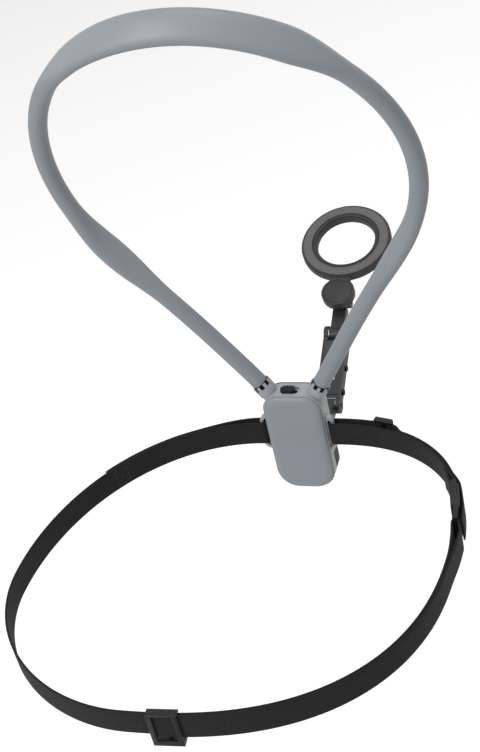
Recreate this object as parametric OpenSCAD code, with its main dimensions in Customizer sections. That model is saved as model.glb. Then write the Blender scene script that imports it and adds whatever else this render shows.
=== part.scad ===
// Neck phone holder: a silicone covered hoop, a chest housing, a folding arm with a
// magnetic ring, and a chest belt. Millimetres, +Z up, +Y away from the wearer's chest.
// The origin is the centre of the chest pad's face.

/* [Chest housing] */
// Width of the chest pad
pad_w = 36; // [32:1:44]
// Height of the chest pad
pad_h = 71; // [64:0.2:80]
// Thickness of the chest pad
pad_t = 3; // [2:0.5:4]
// Radius of the pad's upper corners
pad_top_r = 10.5; // [6:0.5:13]
// Radius of the pad's lower corners
pad_bottom_r = 13; // [6:0.5:14]
// Depth of the main body behind the pad
body_d = 12.6; // [12:0.2:16]
// Wall of the main body
body_wall = 2; // [1.6:0.2:3]
// Thickness of the front cover
cover_t = 1.6; // [1.2:0.2:3]
// Width of the arm dock
dock_w = 24; // [24:1:32]
// Height of the arm dock
dock_h = 28; // [26:1:34]
// Depth of the arm dock
dock_d = 14; // [12:1:18]
// Height of the dock's foot above the housing's lower end
dock_rise = 2.8; // [0.4:0.2:6]
// Travel of the lock slider
lock_travel = 3; // [2.5:0.1:4]

/* [Hoop] */
// Radius of the hoop's round upper part
hoop_r = 101.5; // [90:0.5:115]
// Height of that radius's centre above the pad's centre
hoop_centre_z = 202.1; // [185:0.1:220]
// Distance of each hoop end from the middle plane
socket_x = 19.2; // [17:0.1:22]
// Height of each hoop end above the housing's upper end
socket_rise = 4.8; // [3:0.1:8]
// How far each straight leg bows in towards the middle
leg_bow = 1.2; // [0:0.1:4]
// How far the straight legs lean back over their height
leg_lean = 13; // [0:1:25]
// How much further back the nape lies
nape_back = 31; // [10:1:50]
// Diameter of the sleeve where it is round
tube_d = 10.3; // [9:0.1:13]
// Diameter of the metal core
core_d = 5; // [4:0.5:6]
// Width of the neck pad
neck_pad_w = 17.8; // [15:0.1:24]
// Thickness of the neck pad
neck_pad_t = 7.8; // [6:0.2:10]
// Half length of the neck pad, without its tapers
neck_pad_half = 58; // [35:1:65]
// How far the neck pad is twisted on its left side
neck_twist_angle = 16; // [0:1:30]
// Width of each collarbone pad
collar_pad_w = 16.6; // [14:0.1:24]
// Thickness of each collarbone pad
collar_pad_t = 8; // [6:0.2:10]
// Half length of each collarbone pad
collar_pad_half = 42; // [25:1:50]

/* [Belt] */
// Width of the webbing
web_w = 16; // [15:0.5:20]
// Thickness of the webbing
web_t = 1.3; // [1:0.1:1.6]
// Height of the belt's middle line above the pad's centre
belt_z = 6; // [2:0.1:10]
// How far the belt reaches to the wearer's right
belt_right_x = 109.8; // [100:0.1:130]
// How far the belt reaches to the wearer's left
belt_left_x = 134.8; // [115:0.1:145]
// Where the belt is widest on the right, behind the pad's face
belt_right_y = 89; // [80:1:110]
// Where the belt is widest on the left, behind the pad's face
belt_left_y = 133; // [110:1:145]
// How far the belt reaches behind the pad's face
belt_back_y = 224.6; // [200:0.1:250]
// Where the belt's rearmost point lies to the left
belt_back_x = 40; // [0:1:45]
// Length of the rear adjuster
rear_glide_l = 17; // [13:0.5:20]
// Length of the front adjuster
front_glide_l = 11.5; // [10:0.5:17]
// Length of the closed buckle
buckle_l = 34; // [30:1:42]

/* [Arm] */
// Distance of the lower hinge in front of the pad's face
base_hinge_y = 69.8; // [62:0.2:80]
// Height of the lower hinge above the dock's foot
hinge_rise = 8.4; // [7:0.2:14]
// Length of the lower link from pin to pin
lower_len = 53; // [46:1:64]
// Rise of the lower link above level
lower_angle = 26.3; // [10:0.1:40]
// Length of the upper link from pin to pin
upper_len = 23.9; // [22:0.5:34]
// Rise of the upper link above level
upper_angle = 26.1; // [10:0.5:45]
// Width of the links
link_w = 17; // [15:0.5:20]
// Height of the links
link_h = 7; // [6:0.5:10]
// Diameter of the two large hinge pins
hinge_pin_d = 4; // [3:0.1:5]

/* [Ring] */
// Outer radius of the magnetic ring
ring_r = 31.3; // [29:0.1:34]
// Inner radius of the magnetic ring
ring_hole_r = 20.2; // [17:0.1:21]
// Rise of the ring's plane above level
ring_angle = 18.7; // [0:0.1:35]
// Distance from the swivel to the ring's centre
ring_reach = 42; // [41:0.5:50]
// Radius of the swivel disc
swivel_r = 11.3; // [10:0.1:12]
// Number of magnets in the ring
magnet_count = 16; // [12:1:18]

/* [Hidden] */

$fn = 48;
ring_fn = 96;

// Colours
pad_grey = [0.55, 0.57, 0.59];
shell_grey = [0.66, 0.67, 0.68];
arm_black = [0.2, 0.2, 0.21];
strap_black = [0.13, 0.13, 0.13];
steel = [0.7, 0.7, 0.72];

// General fits and overruns
overrun = 1;
running_gap = 0.05;
loose_gap = 0.2;
seat_gap = 0.3;

// Housing places
body_margin = 0.6;
pad_edge = 0.9;
pad_step = 0.3;
body_w = pad_w + 2 * body_margin;
body_top_z = pad_h / 2 + body_margin;
body_bottom_z = -pad_h / 2 - body_margin;
body_front_y = pad_t + body_d;
cover_front_y = body_front_y + cover_t;
dock_front_y = cover_front_y + dock_d;
dock_low_z = body_bottom_z + dock_rise;
dock_top_z = dock_low_z + dock_h;
base_hinge_z = dock_low_z + hinge_rise;
socket_z = body_top_z + socket_rise;
cover_edge = 0.6;
plug_t = 2;
plug_back_y = body_front_y - plug_t;

// Black tabs of the cover that wrap onto the housing's sides
tab_back_y = 9;
tab_rise = 10.5;
tab_low_z = body_bottom_z + tab_rise;
tab_reach = 12.3;
tab_t = 1.4;
tab_proud = 0.15;
tab_r = 1.5;

// Hoop sockets
socket_shift = 0.7;
socket_y = pad_t + body_d / 2 + socket_shift;
socket_outer_d = 12;
ferrule_d = 9;
ferrule_flange_d = 10.2;
ferrule_flange_t = 3.4;
ferrule_len = 13;
collar_h = 7.5;
stub_d = 11;
socket_depth = 14.5;
notch_count = 8;
notch_w = 2.6;
notch_h = 2.9;

// Cover and dock screws
cover_screw_d = 2.2;
cover_screw_head_d = 4.2;
cover_screw_head_t = 1.4;
boss_d = 5.6;
cover_screw_len = 12.4;
boss_overlap = 0.4;
cover_screw_x = body_w / 2 - body_wall - boss_d / 2 + boss_overlap;
cover_screw_drop = 20.4;
cover_screw_rise = 14.8;
cover_screw_top_z = body_top_z - cover_screw_drop;
cover_screw_low_z = body_bottom_z + cover_screw_rise;
dock_corner_r = 3;
dock_screw_d = 2.2;
dock_screw_len = 8;
dock_screw_inset = 3;
dock_screw_low_x = 8.6;

// Strap ears
ear_reach = 4.8;
ear_rise = 4.7;
ear_bar_w = 2;
ear_arm_h = 1.8;
ear_t = 3.4;
ear_steps = 8;
slot_gap = 0.5;
slot_x = body_w / 2 + ear_reach - ear_bar_w;
belt_set = 0.9;
layer_gap = 0.25;

// Belt lines: the inner layer runs on the wearer's side of the ear bars
belt_front_y = pad_t + belt_set;
ear_turn_r = ear_t / 2 + layer_gap + web_t / 2;
bar_y = belt_front_y + ear_turn_r;
ear_bar_x = slot_x + ear_bar_w / 2;
web_low_z = belt_z - web_w / 2;

// Lock slider
slider_l = 9.2;
slider_w = 6;
slider_h = 2.8;
slider_sink = 1;
slider_x = -2.2;
slider_y = 8.5;
slider_stem_l = 3.4;
slider_stem_w = 2.6;
slider_ribs = 7;
rib_cut_w = 0.6;
rib_cut_d = 0.6;
latch_t = 1.6;
latch_leg_w = 3;
latch_screw_d = 1.6;
latch_screw_head_d = 2.6;
latch_screw_head_t = 0.8;
latch_screw_len = 4.2;
bolt_w = 3.4;
bolt_h = 3;

// Arm dock rail
rail_w = 12;
rail_t = 3;
rail_neck_w = 7;
rail_skin = 3;
rail_stop = 4;
rail_gap = 0.15;
bolt_rise = 2;
bolt_z = dock_low_z + dock_h / 2 + bolt_rise;

// Arm hinges
knuckle_w = 10;
knuckle_r = 4.6;
link_ear_r = 5.4;
washer_t = 0.5;
washer_r = 4.4;
ear_in = knuckle_w / 2 + washer_t + running_gap;
pin_head_d = 7;
pin_head_t = 1.2;
nut_flats = 6.5;
nut_t = 1.8;
knuckle_clear = 2.2;
tilt_clear = 0.8;
window_w = 5;
lower_window_shares = [[0.33, 0.48], [0.57, 0.78]];
link_screw_shares = [0.18, 0.51];
link_screw_d = 2;
link_screw_head_d = 4;
link_screw_head_t = 1.3;
shoulder_t = 5;
shoulder_below = 7;
shoulder_above = 10;
neck_w = 9.2;
neck_h = 6.6;

// Head under the ring
tilt_pin_d = 3;
tilt_pin_head_d = 4.8;
tilt_pin_head_t = 1;
tilt_knuckle_r = 3.8;
tilt_knuckle_w = 7.6;
tilt_ear_t = 3;
lobe_t = 5;
swivel_washer_t = 0.4;
swivel_base_t = 4;
swivel_low_r = 8.6;
swivel_drop = 13.6;
swivel_screw_d = 4;
swivel_head_d = 8;
swivel_head_t = 2;
swivel_cap_d = 19;
swivel_cap_t = 1.2;

// Ring layers, measured from the swivel disc's face
ring_top = 1;
ring_bottom = -4;
face_t = 1.2;
groove_t = 3;
magnet_band = 4.8;
magnet_wall = 1.1;
face_rim = 0.8;
face_groove = 0.5;
face_groove_w = 0.9;
face_groove_shares = [0.28, 0.72];
bridge_w = 14;

// Hoop route
leg_span = sqrt(pow(hoop_centre_z - socket_z, 2) + pow(socket_x, 2));
leg_angle = asin(hoop_r / leg_span) - atan(socket_x / (hoop_centre_z - socket_z));
leg_len = sqrt(pow(leg_span, 2) - pow(hoop_r, 2));
arc_len = hoop_r * (90 + leg_angle) * PI / 180;
half_len = arc_len + leg_len;
bend_z = hoop_centre_z - hoop_r * sin(leg_angle);
apex_z = hoop_centre_z + hoop_r;
lean_ease = 20;
pad_taper = 36;
twist_start = 10;
twist_reach = 50;
twist_end = 80;
twist_fade = 70;
collar_q = arc_len + 5;
neck_dir = [0, 0.6, 0.8];
collar_dir = [-0.35, 0.91, 0.2];
sleeve_sides = 14;
core_sides = 8;
sleeve_steps = 27;
core_sink = 12;

function mix(a, b, k) = a * (1 - k) + b * k;
function clamp01(v) = max(0, min(1, v));
function smooth(v) = let (k = clamp01(v)) k * k * (3 - 2 * k);
function unit(v) = v / norm(v);

// Height and sideways place at a distance q from the nape, measured along the hoop
function hoop_xz(q) = q < arc_len
    ? let (a = 90 - q / hoop_r * 180 / PI) [hoop_r * cos(a), hoop_centre_z + hoop_r * sin(a)]
    : let (r = q - arc_len)
        [hoop_r * cos(leg_angle) - r * sin(leg_angle) - leg_bow * pow(sin(180 * min(1, r / leg_len)), 2),
            bend_z - r * cos(leg_angle)];
function leg_y(z) = let (h = max(0, z - socket_z), top = bend_z - socket_z)
    leg_lean * (h * h / (h + lean_ease)) / (top * top / (top + lean_ease));
function hoop_y(z) = socket_y - leg_y(z) - nape_back * pow(max(0, z - bend_z) / (apex_z - bend_z), 2);
// A point of the route: u runs from -half_len at the left end to half_len at the right end
function hoop_at(u) = let (p = hoop_xz(abs(u))) [sign(u) * p[0], hoop_y(p[1]), p[1]];
route_step = 0.5;
function hoop_dir(u) = abs(u) > half_len - route_step
    ? unit([-sin(leg_angle), 0, -sign(u) * cos(leg_angle)])
    : unit(hoop_at(u + route_step) - hoop_at(u - route_step));
function neck_share(u) = 1 - smooth((abs(u) - neck_pad_half) / pad_taper);
function collar_share(u) = let (d = abs(abs(u) - collar_q)) d < collar_pad_half
    ? pow(cos(90 * d / collar_pad_half), 2) : 0;
function sleeve_w(u) = tube_d + (neck_pad_w - tube_d) * neck_share(u)
    + (collar_pad_w - tube_d) * collar_share(u);
function sleeve_t(u) = tube_d + (neck_pad_t - tube_d) * neck_share(u)
    + (collar_pad_t - tube_d) * collar_share(u);
function plain_side(u) = let (s = sign(u) == 0 ? 1 : sign(u),
    far = [collar_dir[0] * s, collar_dir[1], collar_dir[2]],
    raw = mix(neck_dir, far, smooth((abs(u) - neck_pad_half) / (collar_q - neck_pad_half))),
    t = hoop_dir(u))
    unit(raw - t * (raw * t));
function twist_angle(u) = neck_twist_angle * smooth((-u - twist_start) / twist_reach)
    * (1 - smooth((-u - twist_end) / twist_fade));
function side_dir(u) = let (d = plain_side(u), g = twist_angle(u))
    d * cos(g) - cross(hoop_dir(u), d) * sin(g);
function hoop_ring(u, w, t, n) = let (c = hoop_at(u), d = side_dir(u), e = cross(hoop_dir(u), d))
    [for (i = [0:n - 1]) c + d * w / 2 * cos(360 * i / n) + e * t / 2 * sin(360 * i / n)];

// Belt route: four quarter ovals, each bulged a little, run clockwise seen from above
bulge_shares = [2.41, 2.46, 1.91, 2];
function oval(a, n) = [pow(abs(sin(a)), 2 / n), pow(abs(cos(a)), 2 / n)];
function belt_line(a) = let (q = min(3, floor(a / 90)), p = oval(a - 90 * q, bulge_shares[q]))
    q == 0 ? [slot_x + (belt_right_x - slot_x) * p[0],
              -belt_right_y + (belt_front_y + belt_right_y) * p[1]] :
    q == 1 ? [-belt_back_x + (belt_right_x + belt_back_x) * p[1],
              -belt_right_y - (belt_back_y - belt_right_y) * p[0]] :
    q == 2 ? [-belt_back_x - (belt_left_x - belt_back_x) * p[0],
              -belt_left_y - (belt_back_y - belt_left_y) * p[1]] :
             [-slot_x - (belt_left_x - slot_x) * p[1],
              -belt_left_y + (belt_front_y + belt_left_y) * p[0]];
step_angle = 0.2;
function belt_dir(a) = a < step_angle || a > 360 - step_angle ? [1, 0]
    : unit(belt_line(a + step_angle) - belt_line(a - step_angle));
function belt_out(a) = let (d = belt_dir(a)) [-d[1], d[0]];
function belt_at(a, off) = belt_line(a) + belt_out(a) * off;

// Places along the belt, in degrees of its turn
front_glide_angle = 16.8;
tail_drop_angle = 20.8;
tail_lie_angle = 26;
front_tail_angle = 84.8;
buckle_angle = 76.8;
buckle_half_angle = 8.65;
buckle_shift_angle = 1.05;
rear_glide_angle = 174.2;
rear_tail_angle = 176.3;
left_tail_angle = 310;

// Hinge places in the middle plane
elbow_y = base_hinge_y + lower_len * cos(lower_angle);
elbow_z = base_hinge_z + lower_len * sin(lower_angle);
tilt_y = elbow_y + upper_len * cos(upper_angle);
tilt_z = elbow_z + upper_len * sin(upper_angle);
swivel_y = tilt_y - swivel_drop * sin(ring_angle);
swivel_z = tilt_z + swivel_drop * cos(ring_angle);

// A flat outline drawn in X and Z, standing from y0 to y0 + t
module upright(y0, t) translate([0, y0 + t, 0]) rotate([90, 0, 0]) linear_extrude(t) children();

// A disc or pin along X, centred on a point
module x_disc(r, w, x = 0) translate([x - w / 2, 0, 0]) rotate([0, 90, 0]) cylinder(r = r, h = w);

module at_base_hinge() translate([0, base_hinge_y, base_hinge_z]) rotate([lower_angle, 0, 0]) children();
module at_elbow() translate([0, elbow_y, elbow_z]) rotate([upper_angle, 0, 0]) children();
module at_tilt() translate([0, tilt_y, tilt_z]) children();
module at_swivel() translate([0, swivel_y, swivel_z]) rotate([ring_angle, 0, 0]) children();

// Local Z runs out of a hoop socket: side is 1 on the wearer's right, -1 on the left
module at_socket(side) translate([side * socket_x, socket_y, socket_z])
    rotate([0, side * leg_angle, 0]) children();

// Local X runs along the belt and local Y points out of its loop
module on_belt(turn) {
    p = belt_line(turn);
    d = belt_dir(turn);
    translate([p[0], p[1], belt_z]) rotate([0, 0, atan2(d[1], d[0])]) children();
}

module rounded_plate(w, top, bottom, rt, rb) {
    translate([-w / 2, bottom + rb]) square([w, top - bottom - rt - rb]);
    translate([-w / 2 + rt, top - rt]) square([w - 2 * rt, rt]);
    translate([-w / 2 + rb, bottom]) square([w - 2 * rb, rb]);
    for (side = [-1, 1]) {
        translate([side * (w / 2 - rt), top - rt]) circle(rt);
        translate([side * (w / 2 - rb), bottom + rb]) circle(rb);
    }
}

// The housing's outline, moved inwards by inset
module housing_outline(inset) rounded_plate(body_w - 2 * inset, body_top_z - inset,
    body_bottom_z + inset, pad_top_r + body_margin - inset, pad_bottom_r + body_margin - inset);

module chest_pad() color(pad_grey) {
    upright(pad_edge, pad_t - pad_edge) housing_outline(body_margin);
    upright(pad_step, pad_edge) housing_outline(body_margin + pad_step);
    upright(0, pad_edge) housing_outline(body_margin + pad_edge);
}

// Hooked ear: its two slender arms sweep round to the bar that the webbing turns round
module strap_ear(side) {
    outer_x = body_w / 2 + ear_reach;
    slot_h = web_w / 2 + slot_gap;
    root_x = body_w / 2 - body_wall;
    turns_list = [for (i = [0:ear_steps]) 90 * i / ear_steps];
    for (up = [-1, 1]) translate([0, bar_y + ear_t / 2, belt_z]) rotate([90, 0, 0]) linear_extrude(ear_t)
        polygon(concat(
            [for (g = turns_list) [side * (root_x + (outer_x - root_x) * cos(g)),
                up * (slot_h + ear_rise * sin(g))]],
            [for (i = [ear_steps:-1:0]) let (g = turns_list[i])
                [side * (root_x + (slot_x - root_x) * cos(g)),
                up * (slot_h + (ear_rise - ear_arm_h) * sin(g))]]));
    translate([side * ear_bar_x, bar_y, belt_z - slot_h - running_gap])
        linear_extrude(2 * slot_h + 2 * running_gap) {
            square([ear_bar_w, ear_t - ear_bar_w], center = true);
            for (end = [-1, 1]) translate([0, end * (ear_t - ear_bar_w) / 2]) circle(ear_bar_w / 2);
        }
}

// The cover's side tabs; gap makes the pockets for them
module side_tabs(gap) {
    back_y = tab_back_y - gap;
    tab_h = tab_reach + 2 * gap;
    intersection() {
        upright(back_y, cover_front_y - back_y) housing_outline(-tab_proud - gap);
        for (side = [-1, 1]) {
            tab_x = side * (body_w / 2 - tab_t - gap) + (side > 0 ? 0 : -body_w);
            translate([tab_x, back_y, tab_low_z - gap]) {
                translate([0, tab_r, 0]) cube([body_w, cover_front_y, tab_h]);
                translate([0, 0, tab_r]) cube([body_w, 2 * tab_r, tab_h - 2 * tab_r]);
                for (z = [tab_r, tab_h - tab_r])
                    translate([0, tab_r, z]) rotate([0, 90, 0]) cylinder(r = tab_r, h = body_w);
            }
        }
    }
}

module slider_slot(l, w, depth) translate([slider_x + lock_travel / 2, slider_y, body_top_z - depth])
    linear_extrude(depth + overrun) {
        square([l - w, w], center = true);
        for (side = [-1, 1]) translate([side * (l - w) / 2, 0]) circle(w / 2);
    }

// Cover screws enter from under the pad; dock screws enter from inside the housing
cover_screw_places = [for (side = [-1, 1], z = [cover_screw_low_z, cover_screw_top_z])
    [side * cover_screw_x, z]];

module main_body() color(shell_grey) difference() {
    union() {
        difference() {
            upright(pad_t, body_d) housing_outline(0);
            upright(pad_t + body_wall, body_d) housing_outline(body_wall);
        }
        for (side = [-1, 1]) {
            at_socket(side) {
                translate([0, 0, -collar_h]) cylinder(d = socket_outer_d, h = collar_h);
                translate([0, 0, -socket_depth]) cylinder(d = stub_d, h = socket_depth);
            }
            strap_ear(side);
        }
        for (p = cover_screw_places)
            translate([p[0], plug_back_y, p[1]]) rotate([90, 0, 0])
                cylinder(d = boss_d, h = body_d - plug_t - body_wall / 2);
    }
    side_tabs(running_gap);
    for (side = [-1, 1]) at_socket(side) {
        translate([0, 0, -ferrule_len])
            cylinder(d = ferrule_d + 2 * running_gap, h = ferrule_len + overrun);
        translate([0, 0, -ferrule_flange_t])
            cylinder(d = ferrule_flange_d + 2 * running_gap, h = ferrule_flange_t + overrun);
        for (i = [0:notch_count - 1]) rotate([0, 0, (i + 1 / 2) * 360 / notch_count])
            translate([0, -notch_w / 2, -notch_h]) cube([socket_outer_d, notch_w, notch_h + overrun]);
    }
    for (p = cover_screw_places) translate([p[0], pad_t - overrun, p[1]]) rotate([-90, 0, 0]) {
        cylinder(d = cover_screw_d + 2 * running_gap, h = body_d + 2 * overrun);
        cylinder(d = cover_screw_head_d + 2 * running_gap, h = cover_screw_head_t + overrun);
    }
    slider_slot(slider_l + lock_travel + 2 * loose_gap, slider_w + 2 * loose_gap, slider_sink);
    slider_slot(slider_stem_l + slider_stem_w + lock_travel, slider_stem_w + 2 * loose_gap,
        body_wall + overrun);
}

module front_cover() color(arm_black) difference() {
    union() {
        upright(body_front_y, cover_t - cover_edge) housing_outline(0);
        upright(body_front_y, cover_t) housing_outline(cover_edge);
        upright(plug_back_y, plug_t + cover_edge) housing_outline(body_wall + 2 * running_gap);
        side_tabs(0);
    }
    for (side = [-1, 1]) at_socket(side) translate([0, 0, -socket_depth - loose_gap])
        cylinder(d = socket_outer_d + 2 * running_gap, h = socket_depth + loose_gap + overrun);
    for (p = cover_screw_places) translate([p[0], plug_back_y - overrun, p[1]]) rotate([-90, 0, 0])
        cylinder(d = cover_screw_d + 2 * running_gap, h = cover_screw_len - body_d + plug_t + overrun);
    for (p = dock_screw_places) translate([p[0], plug_back_y - overrun, p[1]]) rotate([-90, 0, 0]) {
        cylinder(d = dock_screw_d + 2 * running_gap, h = plug_t + cover_t + 2 * overrun);
        cylinder(d = cover_screw_head_d + 2 * running_gap, h = cover_screw_head_t + overrun);
    }
    translate([bolt_x - loose_gap, plug_back_y - overrun, bolt_z - bolt_h / 2 - loose_gap])
        cube([bolt_w + lock_travel + 2 * loose_gap, plug_t + cover_t + 2 * overrun,
            bolt_h + 2 * loose_gap]);
}

// A screw whose head's top is at 0 and whose shank runs down from it
module screw(d, l, head_d, head_t) {
    translate([0, 0, -head_t]) cylinder(d = head_d, h = head_t);
    translate([0, 0, -l]) cylinder(d = d, h = l - head_t / 2);
}

module cover_screws() color(steel) for (p = cover_screw_places)
    translate([p[0], pad_t, p[1]]) rotate([90, 0, 0])
        screw(cover_screw_d, cover_screw_len, cover_screw_head_d, cover_screw_head_t);

module lock_slider() color(arm_black) difference() {
    union() {
        translate([slider_x, slider_y, body_top_z - slider_sink]) linear_extrude(slider_h) {
            square([slider_l - slider_w, slider_w], center = true);
            for (side = [-1, 1]) translate([side * (slider_l - slider_w) / 2, 0]) circle(slider_w / 2);
        }
        translate([slider_x - slider_stem_l / 2, slider_y - slider_stem_w / 2, latch_top_z])
            cube([slider_stem_l, slider_stem_w, body_wall]);
    }
    for (i = [0:slider_ribs - 1])
        translate([slider_x + (i - (slider_ribs - 1) / 2) * 2 * rib_cut_w - rib_cut_w / 2,
            slider_y - slider_w, body_top_z - slider_sink + slider_h - rib_cut_d])
            cube([rib_cut_w, 2 * slider_w, rib_cut_d + overrun]);
    translate([slider_x, slider_y, latch_top_z - overrun])
        cylinder(d = latch_screw_d + 2 * running_gap, h = latch_screw_len - latch_t + overrun);
}

latch_top_z = body_top_z - body_wall - running_gap;
leg_y0 = plug_back_y - latch_t - loose_gap;
module latch_plate() color(steel) difference() {
    union() {
        translate([slider_x - latch_leg_w, slider_y - latch_leg_w, latch_top_z - latch_t])
            cube([2 * latch_leg_w, leg_y0 + latch_t - slider_y + latch_leg_w, latch_t]);
        translate([slider_x - latch_leg_w / 2, leg_y0, bolt_z - bolt_h / 2])
            cube([latch_leg_w, latch_t, latch_top_z - bolt_z + bolt_h / 2]);
        translate([slider_x - latch_leg_w / 2, leg_y0, bolt_z - bolt_h / 2])
            cube([bolt_x + bolt_w - slider_x + latch_leg_w / 2, latch_t, bolt_h]);
        translate([bolt_x, leg_y0, bolt_z - bolt_h / 2])
            cube([bolt_w, rail_back_y + rail_t - leg_y0, bolt_h]);
    }
    translate([slider_x, slider_y, latch_top_z - latch_t - overrun])
        cylinder(d = latch_screw_d + 2 * running_gap, h = latch_t + 2 * overrun);
}

module latch_screw() color(steel)
    translate([slider_x, slider_y, latch_top_z - latch_t - latch_screw_head_t]) rotate([180, 0, 0])
        screw(latch_screw_d, latch_screw_len, latch_screw_head_d, latch_screw_head_t);

rail_back_y = cover_front_y + rail_skin;
bolt_x = rail_w / 2 + 2 * loose_gap - lock_travel;
dock_screw_side = [[dock_w / 2 - dock_screw_inset, dock_top_z - dock_screw_inset],
    [dock_screw_low_x, dock_low_z + 2 * dock_screw_inset]];
dock_screw_places = [for (side = [-1, 1], p = dock_screw_side) [side * p[0], p[1]]];

// The plan of the T shaped rail, made larger all round by gap
module rail_plan(gap) {
    translate([-rail_w / 2 - gap, rail_back_y - gap]) square([rail_w + 2 * gap, rail_t + 2 * gap]);
    translate([-rail_neck_w / 2 - gap, rail_back_y])
        square([rail_neck_w + 2 * gap, dock_front_y - rail_back_y + overrun]);
}

module dock_block() color(arm_black) difference() {
    upright(cover_front_y, dock_d)
        rounded_plate(dock_w, dock_top_z, dock_low_z, dock_corner_r, dock_corner_r);
    translate([0, 0, dock_low_z + rail_stop]) linear_extrude(dock_h) rail_plan(rail_gap);
    for (p = dock_screw_places) translate([p[0], cover_front_y - overrun, p[1]]) rotate([-90, 0, 0])
        cylinder(d = dock_screw_d + 2 * running_gap, h = dock_screw_len - plug_t - cover_t + overrun);
    translate([bolt_x - loose_gap, cover_front_y - overrun, bolt_z - bolt_h / 2 - loose_gap])
        cube([bolt_w + lock_travel + 2 * loose_gap, rail_skin + rail_t + loose_gap + overrun,
            bolt_h + 2 * loose_gap]);
}

module dock_screws() color(steel) for (p = dock_screw_places)
    translate([p[0], plug_back_y, p[1]]) rotate([90, 0, 0])
        screw(dock_screw_d, dock_screw_len, cover_screw_head_d, cover_screw_head_t);

module arm_base() color(arm_black) difference() {
    union() {
        translate([0, 0, dock_low_z + rail_stop + running_gap])
            linear_extrude(dock_h - rail_stop - rail_gap) rail_plan(0);
        translate([-link_w / 2, dock_front_y + seat_gap, base_hinge_z - shoulder_below])
            cube([link_w, shoulder_t, shoulder_below + shoulder_above]);
        translate([-knuckle_w / 2, dock_front_y + seat_gap, base_hinge_z - knuckle_r])
            cube([knuckle_w, base_hinge_y - dock_front_y - seat_gap, 2 * knuckle_r]);
        translate([0, base_hinge_y, base_hinge_z]) x_disc(knuckle_r, knuckle_w);
    }
    translate([0, base_hinge_y, base_hinge_z])
        x_disc(hinge_pin_d / 2 + running_gap, knuckle_w + 2 * overrun);
    translate([bolt_x - loose_gap, rail_back_y - overrun, bolt_z - bolt_h / 2 - loose_gap])
        cube([rail_w, rail_t + loose_gap + overrun, bolt_h + 2 * loose_gap]);
}

module hinge_pin() {
    x_disc(hinge_pin_d / 2, link_w - 2 * running_gap);
    x_disc(pin_head_d / 2, pin_head_t, link_w / 2 - pin_head_t / 2);
}

module hinge_nut() difference() {
    translate([-link_w / 2, 0, 0]) rotate([0, 90, 0]) cylinder(d = nut_flats / cos(30), h = nut_t, $fn = 6);
    x_disc(hinge_pin_d / 2 + running_gap / 2, 2 * link_w);
}

module hinge_washers() for (side = [-1, 1]) difference() {
    x_disc(washer_r, washer_t, side * (knuckle_w / 2 + washer_t / 2 + running_gap / 2));
    x_disc(hinge_pin_d / 2 + running_gap, 2 * link_w);
}

module base_pin() color(steel) at_base_hinge() hinge_pin();
module base_nut() color(steel) at_base_hinge() hinge_nut();
module base_washers() color(steel) at_base_hinge() hinge_washers();
module elbow_pin() color(steel) at_elbow_level() hinge_pin();
module elbow_nut() color(steel) at_elbow_level() hinge_nut();
module elbow_washers() color(steel) at_elbow_level() hinge_washers();
// The elbow's own pieces turn with the lower link
module at_elbow_level() translate([0, elbow_y, elbow_z]) rotate([lower_angle, 0, 0]) children();

// One half of the lower link: side is 1 on the right, -1 on the left
module link_half(side) at_base_hinge() difference() {
    ear_w = link_w / 2 - ear_in;
    web_start = knuckle_r + knuckle_clear;
    union() {
        for (y = [0, lower_len]) translate([0, y, 0]) x_disc(link_ear_r, ear_w, side * (ear_in + ear_w / 2));
        translate([side > 0 ? ear_in : -link_w / 2, 0, -link_h / 2]) cube([ear_w, lower_len, link_h]);
        translate([side > 0 ? 0 : -link_w / 2, web_start, -link_h / 2])
            cube([link_w / 2, lower_len - 2 * web_start, link_h]);
    }
    for (y = [0, lower_len]) translate([0, y, 0]) {
        x_disc(hinge_pin_d / 2 + running_gap / 2, 2 * link_w);
        if (side > 0)
            x_disc(pin_head_d / 2 + running_gap, pin_head_t + overrun, (link_w - pin_head_t + overrun) / 2);
        if (side < 0) translate([-link_w / 2 - overrun, 0, 0]) rotate([0, 90, 0])
            cylinder(d = nut_flats / cos(30) + 2 * running_gap, h = nut_t + overrun, $fn = 6);
    }
    for (w = lower_window_shares) translate([-window_w / 2, lower_len * w[0], -link_h])
        cube([window_w, lower_len * (w[1] - w[0]), 2 * link_h]);
    for (k = link_screw_shares)
        translate([0, lower_len * k, 0]) x_disc(link_screw_d / 2 + running_gap / 2, 2 * link_w);
}

module lower_link_left() color(arm_black) link_half(-1);
module lower_link_right() color(arm_black) link_half(1);

module link_screws() color(arm_black) at_base_hinge()
    for (k = link_screw_shares) translate([0, lower_len * k, 0]) {
        x_disc(link_screw_d / 2, link_w - 2 * overrun);
        x_disc(link_screw_head_d / 2, link_screw_head_t, (link_w + link_screw_head_t) / 2);
    }

module upper_link() color(arm_black) at_elbow() difference() {
    narrow_y = upper_len - tilt_knuckle_r - tilt_clear;
    union() {
        x_disc(knuckle_r, knuckle_w);
        translate([-neck_w / 2, 0, -neck_h / 2]) cube([neck_w, narrow_y, neck_h]);
        translate([-tilt_knuckle_w / 2, 0, -neck_h / 2]) cube([tilt_knuckle_w, upper_len, neck_h]);
        translate([0, upper_len, 0]) x_disc(tilt_knuckle_r, tilt_knuckle_w);
    }
    x_disc(hinge_pin_d / 2 + running_gap, 2 * link_w);
    translate([0, upper_len, 0]) x_disc(tilt_pin_d / 2 + running_gap, 2 * link_w);
}

tilt_ear_in = tilt_knuckle_w / 2 + loose_gap;
tilt_ear_out = tilt_ear_in + tilt_ear_t;
base_top = -lobe_t - swivel_washer_t;

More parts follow.
